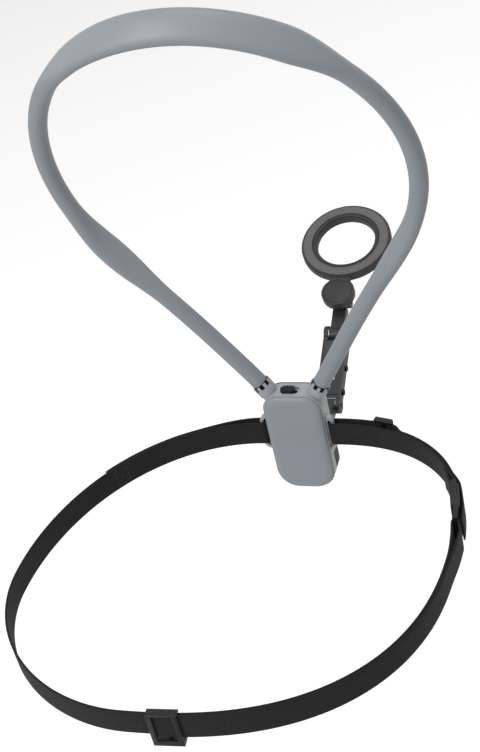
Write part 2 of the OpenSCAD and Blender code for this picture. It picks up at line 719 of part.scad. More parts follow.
module swivel_base() color(arm_black) difference() {
    union() {
        at_swivel() translate([0, 0, base_top - swivel_base_t])
            cylinder(r1 = swivel_low_r, r2 = swivel_r, h = swivel_base_t);
        for (side = [-1, 1]) at_swivel() {
            translate([0, 0, -swivel_drop])
                x_disc(tilt_knuckle_r, tilt_ear_t, side * (tilt_ear_in + tilt_ear_t / 2));
            translate([side > 0 ? tilt_ear_in : -tilt_ear_out, -tilt_knuckle_r, -swivel_drop])
                cube([tilt_ear_t, 2 * tilt_knuckle_r, swivel_drop + base_top - swivel_base_t / 2]);
        }
    }
    at_swivel() {
        translate([0, 0, -swivel_drop]) x_disc(tilt_pin_d / 2 + running_gap / 2, 2 * link_w);
        for (side = [-1, 1]) translate([0, 0, -swivel_drop])
            x_disc(tilt_pin_head_d / 2 + running_gap, tilt_pin_head_t + overrun,
                side * (tilt_ear_out - tilt_pin_head_t / 2 + overrun / 2));
        translate([0, 0, base_top - swivel_base_t - overrun])
            cylinder(d = swivel_screw_d + running_gap, h = swivel_base_t + 2 * overrun);
    }
}

module tilt_pin() color(steel) at_swivel() translate([0, 0, -swivel_drop]) {
    x_disc(tilt_pin_d / 2, 2 * tilt_ear_out - tilt_pin_head_t);
    for (side = [-1, 1])
        x_disc(tilt_pin_head_d / 2, tilt_pin_head_t, side * (tilt_ear_out - tilt_pin_head_t / 2));
}

module swivel_washer() color(steel) at_swivel() translate([0, 0, base_top]) difference() {
    cylinder(d = swivel_cap_d, h = swivel_washer_t);
    translate([0, 0, -overrun])
        cylinder(d = swivel_screw_d + 2 * running_gap, h = swivel_washer_t + 2 * overrun);
}

swivel_head_low = -swivel_cap_t - loose_gap - swivel_head_t;
module swivel_screw() color(steel) at_swivel() {
    translate([0, 0, swivel_head_low]) cylinder(d = swivel_head_d, h = swivel_head_t);
    translate([0, 0, base_top - swivel_base_t])
        cylinder(d = swivel_screw_d, h = swivel_head_low - base_top + swivel_base_t + swivel_head_t / 2);
}

module swivel_cap() color(arm_black) at_swivel()
    translate([0, 0, -swivel_cap_t]) cylinder(d = swivel_cap_d, h = swivel_cap_t);

ring_band = ring_r - ring_hole_r;
groove_in = ring_hole_r + (ring_band - magnet_band) / 2 - running_gap;
groove_out = groove_in + magnet_band + 2 * running_gap;

module ring_band_at(low, high, inner, outer) translate([0, ring_reach, low]) difference() {
    cylinder(r = outer, h = high - low, $fn = ring_fn);
    translate([0, 0, -overrun]) cylinder(r = inner, h = high - low + 2 * overrun, $fn = ring_fn);
}

module ring_frame() color(arm_black) at_swivel() difference() {
    union() {
        ring_band_at(ring_bottom, ring_top, ring_hole_r, ring_r);
        translate([0, 0, -lobe_t]) cylinder(r = swivel_r, h = lobe_t);
        translate([-bridge_w / 2, 0, ring_bottom])
            cube([bridge_w, ring_reach - ring_hole_r - ring_band / 2, -ring_bottom]);
    }
    translate([0, 0, -lobe_t - overrun])
        cylinder(d = swivel_screw_d + 2 * running_gap, h = lobe_t + 2 * overrun);
    translate([0, 0, swivel_head_low]) cylinder(d = swivel_head_d + 2 * running_gap, h = lobe_t);
    translate([0, 0, -swivel_cap_t])
        cylinder(d = swivel_cap_d + 2 * running_gap, h = swivel_cap_t + overrun);
    ring_band_at(ring_top - groove_t, ring_top + overrun, groove_in, groove_out);
}

module ring_magnets() color(steel) at_swivel() translate([0, ring_reach, 0]) for (i = [0:magnet_count - 1])
    rotate([0, 0, i * 360 / magnet_count])
        translate([ring_hole_r + ring_band / 2 - magnet_chord / 2, -magnet_l / 2, ring_top - groove_t])
            cube([magnet_chord, magnet_l, groove_t - loose_gap]);
magnet_l = 2 * PI * ring_hole_r / magnet_count - magnet_wall;
magnet_chord = magnet_band - pow(magnet_l, 2) / groove_in / 4 - running_gap;

module ring_face() color(strap_black) at_swivel() difference() {
    ring_band_at(ring_top, ring_top + face_t, ring_hole_r + face_rim, ring_r - face_rim);
    for (k = face_groove_shares) ring_band_at(ring_top + face_t - face_groove, ring_top + face_t + overrun,
        ring_hole_r + ring_band * k - face_groove_w / 2, ring_hole_r + ring_band * k + face_groove_w / 2);
}

// A solid rod through a list of rings, and a tube between an outer and an inner list of rings
module skin(rings) {
    n = len(rings[0]);
    m = len(rings);
    polyhedron([for (r = rings) each r], concat(
        [for (j = [0:m - 2], i = [0:n - 1]) [j * n + i, j * n + (i + 1) % n, (j + 1) * n + (i + 1) % n]],
        [for (j = [0:m - 2], i = [0:n - 1]) [j * n + i, (j + 1) * n + (i + 1) % n, (j + 1) * n + i]],
        [[for (i = [n - 1:-1:0]) i], [for (i = [0:n - 1]) (m - 1) * n + i]]));
}
module pipe_skin(outer, inner) {
    n = len(outer[0]);
    m = len(outer);
    k = n * m;
    polyhedron([for (r = concat(outer, inner)) each r], concat(
        [for (j = [0:m - 2], i = [0:n - 1]) [j * n + i, j * n + (i + 1) % n, (j + 1) * n + (i + 1) % n]],
        [for (j = [0:m - 2], i = [0:n - 1]) [j * n + i, (j + 1) * n + (i + 1) % n, (j + 1) * n + i]],
        [for (j = [0:m - 2], i = [0:n - 1])
            [k + j * n + i, k + (j + 1) * n + (i + 1) % n, k + j * n + (i + 1) % n]],
        [for (j = [0:m - 2], i = [0:n - 1])
            [k + j * n + i, k + (j + 1) * n + i, k + (j + 1) * n + (i + 1) % n]],
        [for (e = [0, m - 1], i = [0:n - 1]) let (a = e * n + i, b = e * n + (i + 1) % n)
            e == 0 ? [a, k + b, b] : [a, b, k + b]],
        [for (e = [0, m - 1], i = [0:n - 1]) let (a = e * n + i, b = e * n + (i + 1) % n)
            e == 0 ? [a, k + a, k + b] : [a, k + b, k + a]]));
}

sleeve_end = half_len - running_gap;
sleeve_places = [for (i = [-sleeve_steps:sleeve_steps]) i * sleeve_end / sleeve_steps];
module hoop_sleeve() color(pad_grey) pipe_skin(
    [for (u = sleeve_places) hoop_ring(u, sleeve_w(u), sleeve_t(u), sleeve_sides)],
    [for (u = sleeve_places) hoop_ring(u, core_d + 2 * seat_gap, core_d + 2 * seat_gap, sleeve_sides)]);

core_end = half_len + core_sink;
core_places = [for (i = [-sleeve_steps:sleeve_steps]) i * core_end / sleeve_steps];
module hoop_core() color(steel) skin([for (u = core_places) hoop_ring(u, core_d, core_d, core_sides)]);

module ferrule(side) at_socket(side) difference() {
    union() {
        translate([0, 0, -ferrule_len]) cylinder(d = ferrule_d, h = ferrule_len);
        translate([0, 0, -ferrule_flange_t]) cylinder(d = ferrule_flange_d, h = ferrule_flange_t);
    }
    translate([0, 0, -ferrule_len - overrun])
        cylinder(d = core_d + 2 * running_gap, h = ferrule_len + 2 * overrun);
}
module ferrule_left() color(arm_black) ferrule(-1);
module ferrule_right() color(arm_black) ferrule(1);

// Belt layers and the bars they turn round
lane = web_t + layer_gap;
buckle_bar_d = 1.8;
bar_off = buckle_bar_d / 2 + layer_gap + web_t / 2;
socket_bar_angle = buckle_angle - buckle_half_angle;
plug_bar_angle = buckle_angle + buckle_half_angle;
ear_ease_angle = 22;
bar_ease_angle = 8;
sewn_angle = 11;
gap_angle = 1;
u_steps = 10;
belt_step_angle = 2.5;
glide_bar_w = 3;
glide_bar_t = 1;
glide_gap = 0.2;
front_glide_h = 21;
rear_glide_h = 22.6;
rear_glide_drop = 2.1;
buckle_h = 22;
buckle_t = 5.2;
buckle_in = 0.6;
buckle_wall = 1.5;
buckle_body_back = 9.5;
buckle_mouth = 3.5;
buckle_shift = 1.8;
plug_body_l = 6;
prong_t = 2.8;
prong_w = 2.6;
prong_l = 10;
prong_head_l = 4;
end_overlap = 0.8;
loop_bulge = 1.6;
loop_rise_angle = 3;
loop_fall_angle = 11.5;

function ramp(a, from, to) = smooth((a - from) / (to - from));
// Distance of each layer outside the belt line: near the ears, at the buckle's bars and between
function ear_off(t) = 2 * ear_turn_r + (lane - 2 * ear_turn_r) * ramp(t, 0, ear_ease_angle);
function socket_share(a) = ramp(a, socket_bar_angle - bar_ease_angle, socket_bar_angle);
function front_off(a) = bar_off * socket_share(a);
function front_tail_off(a) = mix(2 * ear_turn_r, lane, ramp(a, tail_drop_angle, tail_lie_angle))
    + bar_off * socket_share(a);
function sewn_off(a) = -lane - (bar_off - lane) * socket_share(a);
function plug_share(a) = 1 - ramp(a, plug_bar_angle, plug_bar_angle + bar_ease_angle);
function long_off(a) = -bar_off * plug_share(a);
// The returning layer first stands off the main one, and they close up further along
function loop_share(a) = ramp(a, plug_bar_angle, plug_bar_angle + loop_rise_angle)
    * (1 - ramp(a, plug_bar_angle + loop_rise_angle, plug_bar_angle + loop_fall_angle));
function return_off(a) = lane + (bar_off - lane) * plug_share(a) + loop_bulge * loop_share(a);
// Turns from a to b in even steps, and one turn after another with u_turn arcs between
function turns(a, b) = let (n = ceil(abs(b - a) / belt_step_angle)) [for (i = [0:n]) mix(a, b, i / n)];
function arc_round(c, r, from, way) = [for (k = [1:u_steps - 1]) let (g = from + way * 180 * k / u_steps)
    c + r * [cos(g), sin(g)]];
function heading(a) = let (d = belt_dir(a)) atan2(d[1], d[0]);

front_route = concat(
    [for (a = turns(socket_bar_angle - sewn_angle, socket_bar_angle)) belt_at(a, sewn_off(a))],
    arc_round(belt_line(socket_bar_angle), bar_off, heading(socket_bar_angle) - 90, 1),
    [for (a = turns(socket_bar_angle, gap_angle)) belt_at(a, front_off(a))],
    [[ear_bar_x, bar_y - ear_turn_r]],
    arc_round([ear_bar_x, bar_y], ear_turn_r, -90, -1),
    [[ear_bar_x, bar_y + ear_turn_r]],
    [for (a = turns(gap_angle, front_tail_angle)) belt_at(a, front_tail_off(a))]);

long_route = concat(
    [for (a = turns(left_tail_angle, 360 - gap_angle)) belt_at(a, ear_off(360 - a))],
    [[-ear_bar_x, bar_y + ear_turn_r]],
    arc_round([-ear_bar_x, bar_y], ear_turn_r, 90, -1),
    [[-ear_bar_x, bar_y - ear_turn_r]],
    [for (a = turns(360 - gap_angle, plug_bar_angle)) belt_at(a, long_off(a))],
    arc_round(belt_line(plug_bar_angle), bar_off, heading(plug_bar_angle) - 90, -1),
    [for (a = turns(plug_bar_angle, rear_tail_angle)) belt_at(a, return_off(a))]);

function route_side(r, i) = let (d = r[min(i + 1, len(r) - 1)] - r[max(i - 1, 0)]) [-d[1], d[0]] / norm(d);
module ribbon(r) translate([0, 0, web_low_z]) linear_extrude(web_w) polygon(concat(
    [for (i = [0:len(r) - 1]) r[i] + route_side(r, i) * web_t / 2],
    [for (i = [len(r) - 1:-1:0]) r[i] - route_side(r, i) * web_t / 2]));

module front_strap() color(strap_black) ribbon(front_route);
module long_strap() color(strap_black) ribbon(long_route);

// Its middle bar lies under the webbing at low and its two outer bars lie over it at high
module triglide(turn, l, h, low, high, drop) on_belt(turn) translate([0, 0, -drop]) {
    rail_h = (h - web_w) / 2 - loose_gap - drop;
    for (side = [-1, 1]) {
        translate([-l / 2, low - glide_bar_t, side > 0 ? h / 2 - rail_h : -h / 2])
            cube([l, high - low + 2 * glide_bar_t, side > 0 ? rail_h : rail_h + drop]);
        translate([side * (l - glide_bar_w) / 2 - glide_bar_w / 2, high, -h / 2])
            cube([glide_bar_w, glide_bar_t, h]);
    }
    translate([-glide_bar_w / 2, low - glide_bar_t, -h / 2]) cube([glide_bar_w, glide_bar_t, h]);
}
module front_triglide() color(arm_black) triglide(front_glide_angle, front_glide_l, front_glide_h,
    2 * ear_turn_r - web_t / 2 - glide_gap, 2 * ear_turn_r + web_t / 2 + glide_gap, 0);
module rear_triglide() color(arm_black) triglide(rear_glide_angle, rear_glide_l, rear_glide_h,
    -web_t / 2 - glide_gap, lane + web_t / 2 + glide_gap, rear_glide_drop);

// The strap bar of one buckle half: along is 1 where the buckle lies ahead of the bar, -1 behind
module buckle_end(turn, along, l) on_belt(turn) {
    rail_h = (buckle_h - web_w) / 2 - loose_gap;
    translate([0, 0, -buckle_h / 2]) cylinder(d = buckle_bar_d, h = buckle_h);
    start = along > 0 ? -buckle_bar_d / 2 : buckle_bar_d / 2 - l;
    for (low = [-buckle_h / 2, buckle_h / 2 - rail_h])
        translate([start, -prong_t / 2, low]) cube([l, prong_t, rail_h]);
}

socket_end_l = buckle_l / 2 - buckle_shift - buckle_body_back + (buckle_bar_d + end_overlap) / 2;
plug_end_l = buckle_l / 2 + buckle_shift - buckle_mouth - plug_body_l + buckle_bar_d / 2 + end_overlap;
buckle_mid_angle = buckle_angle - buckle_shift_angle;
prong_z = buckle_h / 2 - buckle_wall - prong_w - loose_gap;
module buckle_box(x0, x1, t, h) translate([x0, -buckle_in - t / 2, -h / 2]) cube([x1 - x0, t, h]);
module buckle_socket() color(strap_black) difference() {
    union() {
        on_belt(buckle_mid_angle) buckle_box(-buckle_body_back, buckle_mouth, buckle_t, buckle_h);
        buckle_end(socket_bar_angle, 1, socket_end_l);
    }
    on_belt(buckle_mid_angle) {
        buckle_box(buckle_mouth - prong_l - buckle_wall, buckle_mouth + overrun,
            prong_t + 2 * loose_gap, buckle_h - 2 * buckle_wall);
        buckle_box(buckle_mouth - prong_l - loose_gap, buckle_mouth - prong_l + prong_head_l + loose_gap,
            prong_t + 2 * loose_gap, buckle_h + 2 * overrun);
    }
}

module buckle_plug() color(strap_black) {
    on_belt(buckle_mid_angle) {
        buckle_box(buckle_mouth + loose_gap, buckle_mouth + plug_body_l, buckle_t, buckle_h);
        buckle_box(buckle_mouth - prong_l + prong_head_l, buckle_mouth + plug_body_l, prong_t, prong_w);
        for (side = [-1, 1]) {
            translate([0, 0, side * (prong_z + prong_w / 2)])
                buckle_box(buckle_mouth - prong_l, buckle_mouth + plug_body_l, prong_t, prong_w);
            translate([0, 0, side * (prong_z + prong_w / 2 + buckle_wall / 2)])
                buckle_box(buckle_mouth - prong_l, buckle_mouth - prong_l + prong_head_l,
                    prong_t, prong_w + buckle_wall);
        }
    }
    buckle_end(plug_bar_angle, -1, plug_end_l);
}

chest_pad();
main_body();
front_cover();
cover_screws();
lock_slider();
latch_plate();
latch_screw();
dock_block();
dock_screws();
hoop_sleeve();
hoop_core();
ferrule_left();
ferrule_right();
arm_base();
base_pin();
base_nut();
base_washers();
lower_link_left();
lower_link_right();
link_screws();
elbow_pin();
elbow_nut();
elbow_washers();
upper_link();
tilt_pin();
swivel_base();
swivel_washer();
swivel_screw();
swivel_cap();
ring_frame();
ring_magnets();
ring_face();
front_strap();
long_strap();
front_triglide();
rear_triglide();
buckle_socket();
buckle_plug();
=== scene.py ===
# %% [markdown]
# # A neck phone holder
# The real object is a bendable hoop in grey silicone, a chest housing, a belt of black webbing
# and a folding arm with a magnetic ring. The rigid model comes from CAD as a fixed frame, and
# this lesson dresses it: every soft piece and every edge that catches light is modelled here,
# in metres, exactly where the frame says.

# %% Load the frame
import math

import bpy
from mathutils import Matrix, Vector


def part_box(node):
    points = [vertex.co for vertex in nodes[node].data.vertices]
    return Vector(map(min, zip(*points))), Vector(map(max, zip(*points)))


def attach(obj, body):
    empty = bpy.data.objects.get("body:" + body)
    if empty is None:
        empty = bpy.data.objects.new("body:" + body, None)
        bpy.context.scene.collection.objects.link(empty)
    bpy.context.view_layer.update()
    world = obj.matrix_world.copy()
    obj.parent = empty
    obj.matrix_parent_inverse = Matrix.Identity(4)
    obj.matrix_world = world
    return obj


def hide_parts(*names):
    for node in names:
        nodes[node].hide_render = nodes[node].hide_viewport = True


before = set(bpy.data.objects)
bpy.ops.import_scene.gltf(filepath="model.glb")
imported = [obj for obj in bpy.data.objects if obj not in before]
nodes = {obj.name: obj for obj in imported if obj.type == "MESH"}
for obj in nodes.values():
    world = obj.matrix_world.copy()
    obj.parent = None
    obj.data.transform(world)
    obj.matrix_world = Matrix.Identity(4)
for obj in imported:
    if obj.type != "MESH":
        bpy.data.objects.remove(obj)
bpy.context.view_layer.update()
mm = 0.001
print("CAD nodes:", len(nodes))

# %% [markdown]
# ## Camera
# The picture was taken from behind and above the wearer's shoulder with a long lens, and the
# camera rolls a little clockwise. Three turns in a row give that pose: the heading, the tilt
# down and the roll, so each can be set by itself.

# %% Camera
camera_place = Vector((258.7, -673.2, 575.3)) * mm
heading = math.radians(22.99)
tilt = math.radians(54.5)
roll = math.radians(-13.8)
focal_px = 1500
image_w = 480
image_h = 752
sensor_h = 24

bpy.ops.object.camera_add()
camera = bpy.context.object
camera.data.sensor_fit = "VERTICAL"
camera.data.sensor_height = sensor_h
camera.data.lens = focal_px * sensor_h / image_h
camera.data.clip_start = 10 * mm
camera.matrix_world = (Matrix.Translation(camera_place) @ Matrix.Rotation(heading, 4, "Z")
                       @ Matrix.Rotation(tilt, 4, "X") @ Matrix.Rotation(roll, 4, "Z"))
bpy.context.scene.camera = camera
print("lens", round(camera.data.lens, 2), "mm, frame", image_w, "x", image_h)

# %% [markdown]
# ## Shader maths
# A procedural finish is easier to read as a sum than as a web of nodes. The small class below
# wraps one socket, and its operators add Math nodes. Every other node comes from one method,
# which takes the node's type, its settings and the values or links of its sockets.

# %% Shader helpers
class Field:
    """A value on a surface: sums and products on it add Math nodes."""

    def __init__(self, finish, socket):
        self.finish = finish
        self.socket = socket

    def math(self, operation, first, second):
        return self.finish.add("ShaderNodeMath", {"operation": operation}, {0: first, 1: second})

    def __add__(self, other):
        return self.math("ADD", self, other)

    def __sub__(self, other):
        return self.math("SUBTRACT", self, other)

    def __mul__(self, other):
        return self.math("MULTIPLY", self, other)

    def __rsub__(self, other):
        return self.math("SUBTRACT", other, self)

    __radd__ = __add__
    __rmul__ = __mul__

    def wave(self):
        return self.math("SINE", self, 0.0)

    def power(self, exponent):
        return self.math("POWER", self, exponent)

    def size(self):
        return self.math("ABSOLUTE", self, 0.0)

    def stripes(self, pitch):
        """Soft stripes from 0 to 1, one to each pitch of this length."""
        return (self * (2 * math.pi / pitch)).wave() * 0.5 + 0.5

    def clipped(self, low, high):
        return self.finish.add("ShaderNodeClamp", {}, {"Value": self, "Min": low, "Max": high})


class Finish:
    """One material, built round a Principled shader."""

    def __init__(self, name, **numbers):
        self.material = bpy.data.materials.new(name)
        self.material.use_nodes = True
        self.tree = self.material.node_tree
        self.shader = self.tree.nodes["Principled BSDF"]
        for socket, number in numbers.items():
            self.shader.inputs[socket.replace("_", " ")].default_value = number

    def put(self, socket, value):
        if isinstance(value, Field):
            self.tree.links.new(value.socket, socket)
        else:
            socket.default_value = value

    def add(self, kind, settings, inputs, output=0):
        made = self.tree.nodes.new(kind)
        for key, value in settings.items():
            setattr(made, key, value)
        for key, value in inputs.items():
            self.put(made.inputs[key], value)
        return Field(self, made.outputs[output])

    def place(self):
        return self.add("ShaderNodeTexCoord", {}, {}, "Object")

    def along(self):
        return self.add("ShaderNodeTexCoord", {}, {}, "UV")

    def parts(self, vector):
        split = self.add("ShaderNodeSeparateXYZ", {}, {"Vector": vector}).socket.node
        return [Field(self, split.outputs[i]) for i in range(3)]

    def noise(self, vector, scale, detail=2.0, rough=0.5):
        return self.add("ShaderNodeTexNoise", {},
                        {"Vector": vector, "Scale": scale, "Detail": detail, "Roughness": rough})

    def blend(self, factor, dark, light):
        # Mix has a socket of each name for every kind of value: 6 and 7 are the colours
        return self.add("ShaderNodeMix", {"data_type": "RGBA"}, {0: factor, 6: dark, 7: light}, 2)

    def relief(self, height, distance, strength=1.0):
        bump = self.add("ShaderNodeBump", {},
                        {"Height": height, "Distance": distance, "Strength": strength})
        self.put(self.shader.inputs["Normal"], bump)

    def colour(self, value):
        self.put(self.shader.inputs["Base Color"], value)

    def roughness(self, value):
        self.put(self.shader.inputs["Roughness"], value)


def rgb(red, green, blue):
    """A colour as it is seen, 0 to 255, turned into the linear values that a shader takes."""
    def linear(value):
        share = value / 255
        return share / 12.92 if share <= 0.04045 else ((share + 0.055) / 1.055) ** 2.4
    return (linear(red), linear(green), linear(blue), 1.0)


print("shader helpers ready")

# %% [markdown]
# ## Finishes
# The hoop and the chest pad are dull moulded silicone: almost one colour, with a fine skin and
# a soft broad highlight. The housing is sprayed satin plastic with a sandy grain. The arm is
# dark moulded plastic, whose wear shows as faint paler clouds, and the belt is ribbed webbing.

# %% Moulded finishes
cloud_scale = 26.0
cloud_share = 0.75
cloud_dulling = 0.12
grain_dulling = 0.08


def moulded(name, dark, light, rough, grain_scale, grain_depth, **numbers):
    """A moulded skin: soft clouds of colour and sheen over a fine even grain."""
    finish = Finish(name, **numbers)
    place = finish.place()
    clouds = finish.noise(place, cloud_scale, detail=3.0, rough=0.55)
    grain = finish.noise(place, grain_scale, rough=0.6)
    shade = (clouds * cloud_share + grain * (1 - cloud_share)).clipped(0.0, 1.0)
    finish.colour(finish.blend(shade, dark, light))
    middle = (cloud_dulling + grain_dulling) / 2
    finish.roughness(clouds * cloud_dulling + grain * grain_dulling + (rough - middle))
    finish.relief(grain, grain_depth)
    return finish.material


silicone = moulded("Silicone", rgb(133, 140, 146), rgb(143, 150, 156), 0.42, 1600, 0.03 * mm,
                   Specular_IOR_Level=0.35)
housing_paint = moulded("Housing satin", rgb(128, 133, 135), rgb(174, 179, 182), 0.34, 1300,
                        0.07 * mm, Coat_Weight=0.25, Coat_Roughness=0.25)
cover_skin = moulded("Cover black", rgb(10, 10, 11), rgb(18, 18, 19), 0.42, 1900, 0.05 * mm,
                     Specular_IOR_Level=0.3)
socket_black = moulded("Socket lining", rgb(8, 8, 9), rgb(14, 14, 15), 0.6, 1900, 0.03 * mm,
                       Specular_IOR_Level=0.1)
arm_skin = moulded("Arm plastic", rgb(42, 42, 43), rgb(62, 62, 63), 0.38, 1500, 0.04 * mm,
                   Specular_IOR_Level=0.3)
buckle_skin = moulded("Buckle plastic", rgb(5, 5, 6), rgb(11, 11, 12), 0.4, 1400, 0.03 * mm,
                      Specular_IOR_Level=0.35)
print("moulded finishes ready")

# %% Metals
scratch_stretch = 14.0
scratch_depth = 0.01 * mm
scratch_dulling = 0.16
patch_scale = 180.0
patch_dulling = 0.1
patch_shade = 0.82


def turned_metal(name, colour, rough, scale):
    """Machined metal: fine scratches stretched along one way, and patches of duller wear."""
    finish = Finish(name, Metallic=1.0)
    place = finish.place()
    stretched = finish.add("ShaderNodeMapping", {},
                           {"Vector": place, "Scale": (1.0, scratch_stretch, 1.0)})
    scratches = finish.noise(stretched, scale, detail=4.0, rough=0.7)
    patches = finish.noise(place, patch_scale)
    worn = [c * patch_shade for c in colour[:3]] + [1.0]
    finish.colour(finish.blend(patches, worn, colour))
    middle = (scratch_dulling + patch_dulling) / 2
    finish.roughness(scratches * scratch_dulling + patches * patch_dulling + (rough - middle))
    finish.relief(scratches, scratch_depth)
    return finish.material


steel = turned_metal("Steel", rgb(196, 198, 202), 0.32, 420)
black_steel = turned_metal("Blackened steel", rgb(44, 44, 46), 0.36, 420)
magnet_plate = turned_metal("Nickel plate", rgb(178, 176, 170), 0.24, 260)
print("metals ready")

# %% [markdown]
# ## Webbing finish
# Polyester webbing is woven in fine slanting ribs with a flat bound edge on either side. The
# ribs follow the strap, so they read its UV map, which runs in metres along it and across it.

# %% Webbing
web_w = 16 * mm
web_t = 1.3 * mm
rib_pitch = 1.7 * mm
rib_slant = 0.7
pick_pitch = 0.5 * mm
selvedge = 1.1 * mm
rib_share = 0.85
weave_share = 0.7
weave_relief = 0.25 * mm
fray_scale = 900.0
fray_shift = 1.1
fray_relief = 0.3
wear_scale = 60.0
wear_dulling = 0.1
web_rough = 0.68
edge_dark = 0.2
edge_picks = 0.6


def woven(name, dark, light):
    """Slanting ribs over fine picks between two bound edges, with frayed and worn threads."""
    finish = Finish(name, Specular_IOR_Level=0.12, Sheen_Weight=0.06, Sheen_Roughness=0.5)
    run, across, _ = finish.parts(finish.along())
    fray = finish.noise(finish.place(), fray_scale, detail=3.0)
    slant = (run + across * rib_slant) * (2 * math.pi / rib_pitch) + fray * fray_shift
    ribs = slant.wave() * 0.5 + 0.5
    picks = across.stripes(pick_pitch)
    # 1 on the bound edges, 0 on the ribbed middle
    from_middle = (across - web_w / 2).size()
    edge = (from_middle * (1 / selvedge) - (web_w / 2 / selvedge - 1)).clipped(0.0, 1.0)
    weave = ribs * rib_share + picks * (1 - rib_share)
    body = weave * (1 - edge) + (picks * edge_picks + edge_dark) * edge
    wear = finish.noise(finish.place(), wear_scale, detail=3.0)
    shade = (body * weave_share + wear * (1 - weave_share)).clipped(0.0, 1.0)
    finish.colour(finish.blend(shade, dark, light))
    finish.roughness(wear * wear_dulling + web_rough)
    finish.relief(body + fray * fray_relief, weave_relief, strength=0.9)
    return finish.material


webbing = woven("Webbing", rgb(3, 3, 4), rgb(46, 46, 48))
thread = moulded("Thread", rgb(30, 30, 31), rgb(58, 58, 60), 0.7, 3000, 0.05 * mm)
print("webbing ribs", round(rib_pitch / mm, 1), "mm apart")

# %% [markdown]
# ## Modelling helpers
# Operators act on all that is selected, and the loaded frame leaves its nodes selected, so
# each helper first deselects everything. A finished piece keeps its place in its mesh, with
# its object at the origin.

# %% Modelling helpers
weld = 0.002 * mm
smooth_turn = math.radians(50)


def only(piece):
    """Selects one piece alone and makes it active."""
    if bpy.context.mode != "OBJECT":
        bpy.ops.object.mode_set(mode="OBJECT")
    bpy.ops.object.select_all(action="DESELECT")
    piece.select_set(True)
    bpy.context.view_layer.objects.active = piece


def edit(piece):
    only(piece)
    bpy.ops.object.mode_set(mode="EDIT")
    bpy.ops.mesh.select_all(action="SELECT")


def done():
    bpy.ops.object.mode_set(mode="OBJECT")


def settle(piece, matrix):
    """Moves a piece to its place and leaves that place in its mesh."""
    piece.data.transform(matrix @ piece.matrix_world)
    piece.matrix_world = Matrix.Identity(4)
    piece.data.update()


def smoothed(piece, turn=smooth_turn):
    """Smooth shading, but for edges that turn more than this."""
    only(piece)
    bpy.ops.object.shade_smooth_by_angle(angle=turn)


def close_up(piece):
    """Merges doubled points and turns all faces outwards."""
    edit(piece)
    bpy.ops.mesh.remove_doubles(threshold=weld)
    bpy.ops.mesh.normals_make_consistent(inside=False)
    done()


def apply_all(piece):
    only(piece)
    for modifier in list(piece.modifiers):
        bpy.ops.object.modifier_apply(modifier=modifier.name)


sharp_turn = math.radians(32)
shading_turn = math.radians(38)


def soften(piece, width, segments=3):
    """Rounds every edge that turns sharply, as a mould or a tumbler does."""
    bevel = piece.modifiers.new("Rounded edges", "BEVEL")
    bevel.width = width
    bevel.segments = segments
    bevel.limit_method = "ANGLE"
    bevel.angle_limit = sharp_turn
    bevel.use_clamp_overlap = True
    apply_all(piece)
    smoothed(piece, shading_turn)


def finish_piece(piece, material, slot, body, *replaced):
    """Gives a piece its material, attaches it to its body and hides the nodes that it replaces;
    the slot is not used.
    """
    piece.data.materials.clear()
    piece.data.materials.append(material)
    if replaced:
        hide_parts(*replaced)
    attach(piece, body)
    print(piece.name, len(piece.data.polygons), "faces")
    return piece


def cut_by(piece, cutter):
    """Takes the cutter's shape out of the piece, and the cutter away."""
    boolean = piece.modifiers.new("Cut", "BOOLEAN")
    boolean.operation = "DIFFERENCE"
    boolean.solver = "EXACT"
    boolean.object = cutter
    apply_all(piece)
    bpy.data.objects.remove(cutter)


print("modelling helpers ready")

# %% [markdown]
# ## A sheet of faces laid along a route
# The hoop and the straps are long and bent. A flat grid is added, each of its points is moved
# to a place worked out from how far along and how far round it lies, and the seam is merged.
# That keeps the rings evenly spaced, which a curve with a bevel wouldn't where a section
# changes shape.

# %% Grid along a route
def laid_grid(name, rows, columns, place, closed):
    """A grid whose point in row i and column j moves to place(i, j), with UVs from place."""
    bpy.ops.mesh.primitive_grid_add(x_subdivisions=rows, y_subdivisions=columns, size=1,
                                    calc_uvs=True)
    piece = bpy.context.object
    piece.name = name
    spots = {}
    for vertex in piece.data.vertices:
        row = round((vertex.co.x + 0.5) * rows)
        column = round((vertex.co.y + 0.5) * columns)
        spots[vertex.index] = place(row, column)
        vertex.co = spots[vertex.index][0]
    layer = piece.data.uv_layers[0].data
    for loop in piece.data.loops:
        layer[loop.index].uv = spots[loop.vertex_index][1]
    if closed:
        close_up(piece)
    smoothed(piece)
    return piece


print("grid helper ready")

# %% [markdown]
# ## The hoop's route
# Two straight legs rise from the housing, lean back, and run into one round arch that carries
# the neck pad. A point of the route is asked for by its distance from the nape.

# %% Hoop route
hoop_r = 101.5 * mm
hoop_centre_z = 202.1 * mm
socket_x = 19.2 * mm
socket_y = 10 * mm
socket_z = 40.9 * mm
leg_bow = 1.2 * mm
leg_lean = 13 * mm
lean_ease = 20 * mm
nape_back = 31 * mm

leg_span = math.hypot(hoop_centre_z - socket_z, socket_x)
leg_angle = math.asin(hoop_r / leg_span) - math.atan2(socket_x, hoop_centre_z - socket_z)
leg_len = math.sqrt(leg_span ** 2 - hoop_r ** 2)
arc_len = hoop_r * (math.pi / 2 + leg_angle)
half_len = arc_len + leg_len
bend_z = hoop_centre_z - hoop_r * math.sin(leg_angle)
apex_z = hoop_centre_z + hoop_r


def smooth(value):
    share = max(0.0, min(1.0, value))
    return share * share * (3 - 2 * share)


def leg_y(z):
    """How far a leg leans back at a height: little near its socket, then evenly."""
    def lean(height):
        return height * height / (height + lean_ease)
    return leg_lean * lean(max(0.0, z - socket_z)) / lean(bend_z - socket_z)


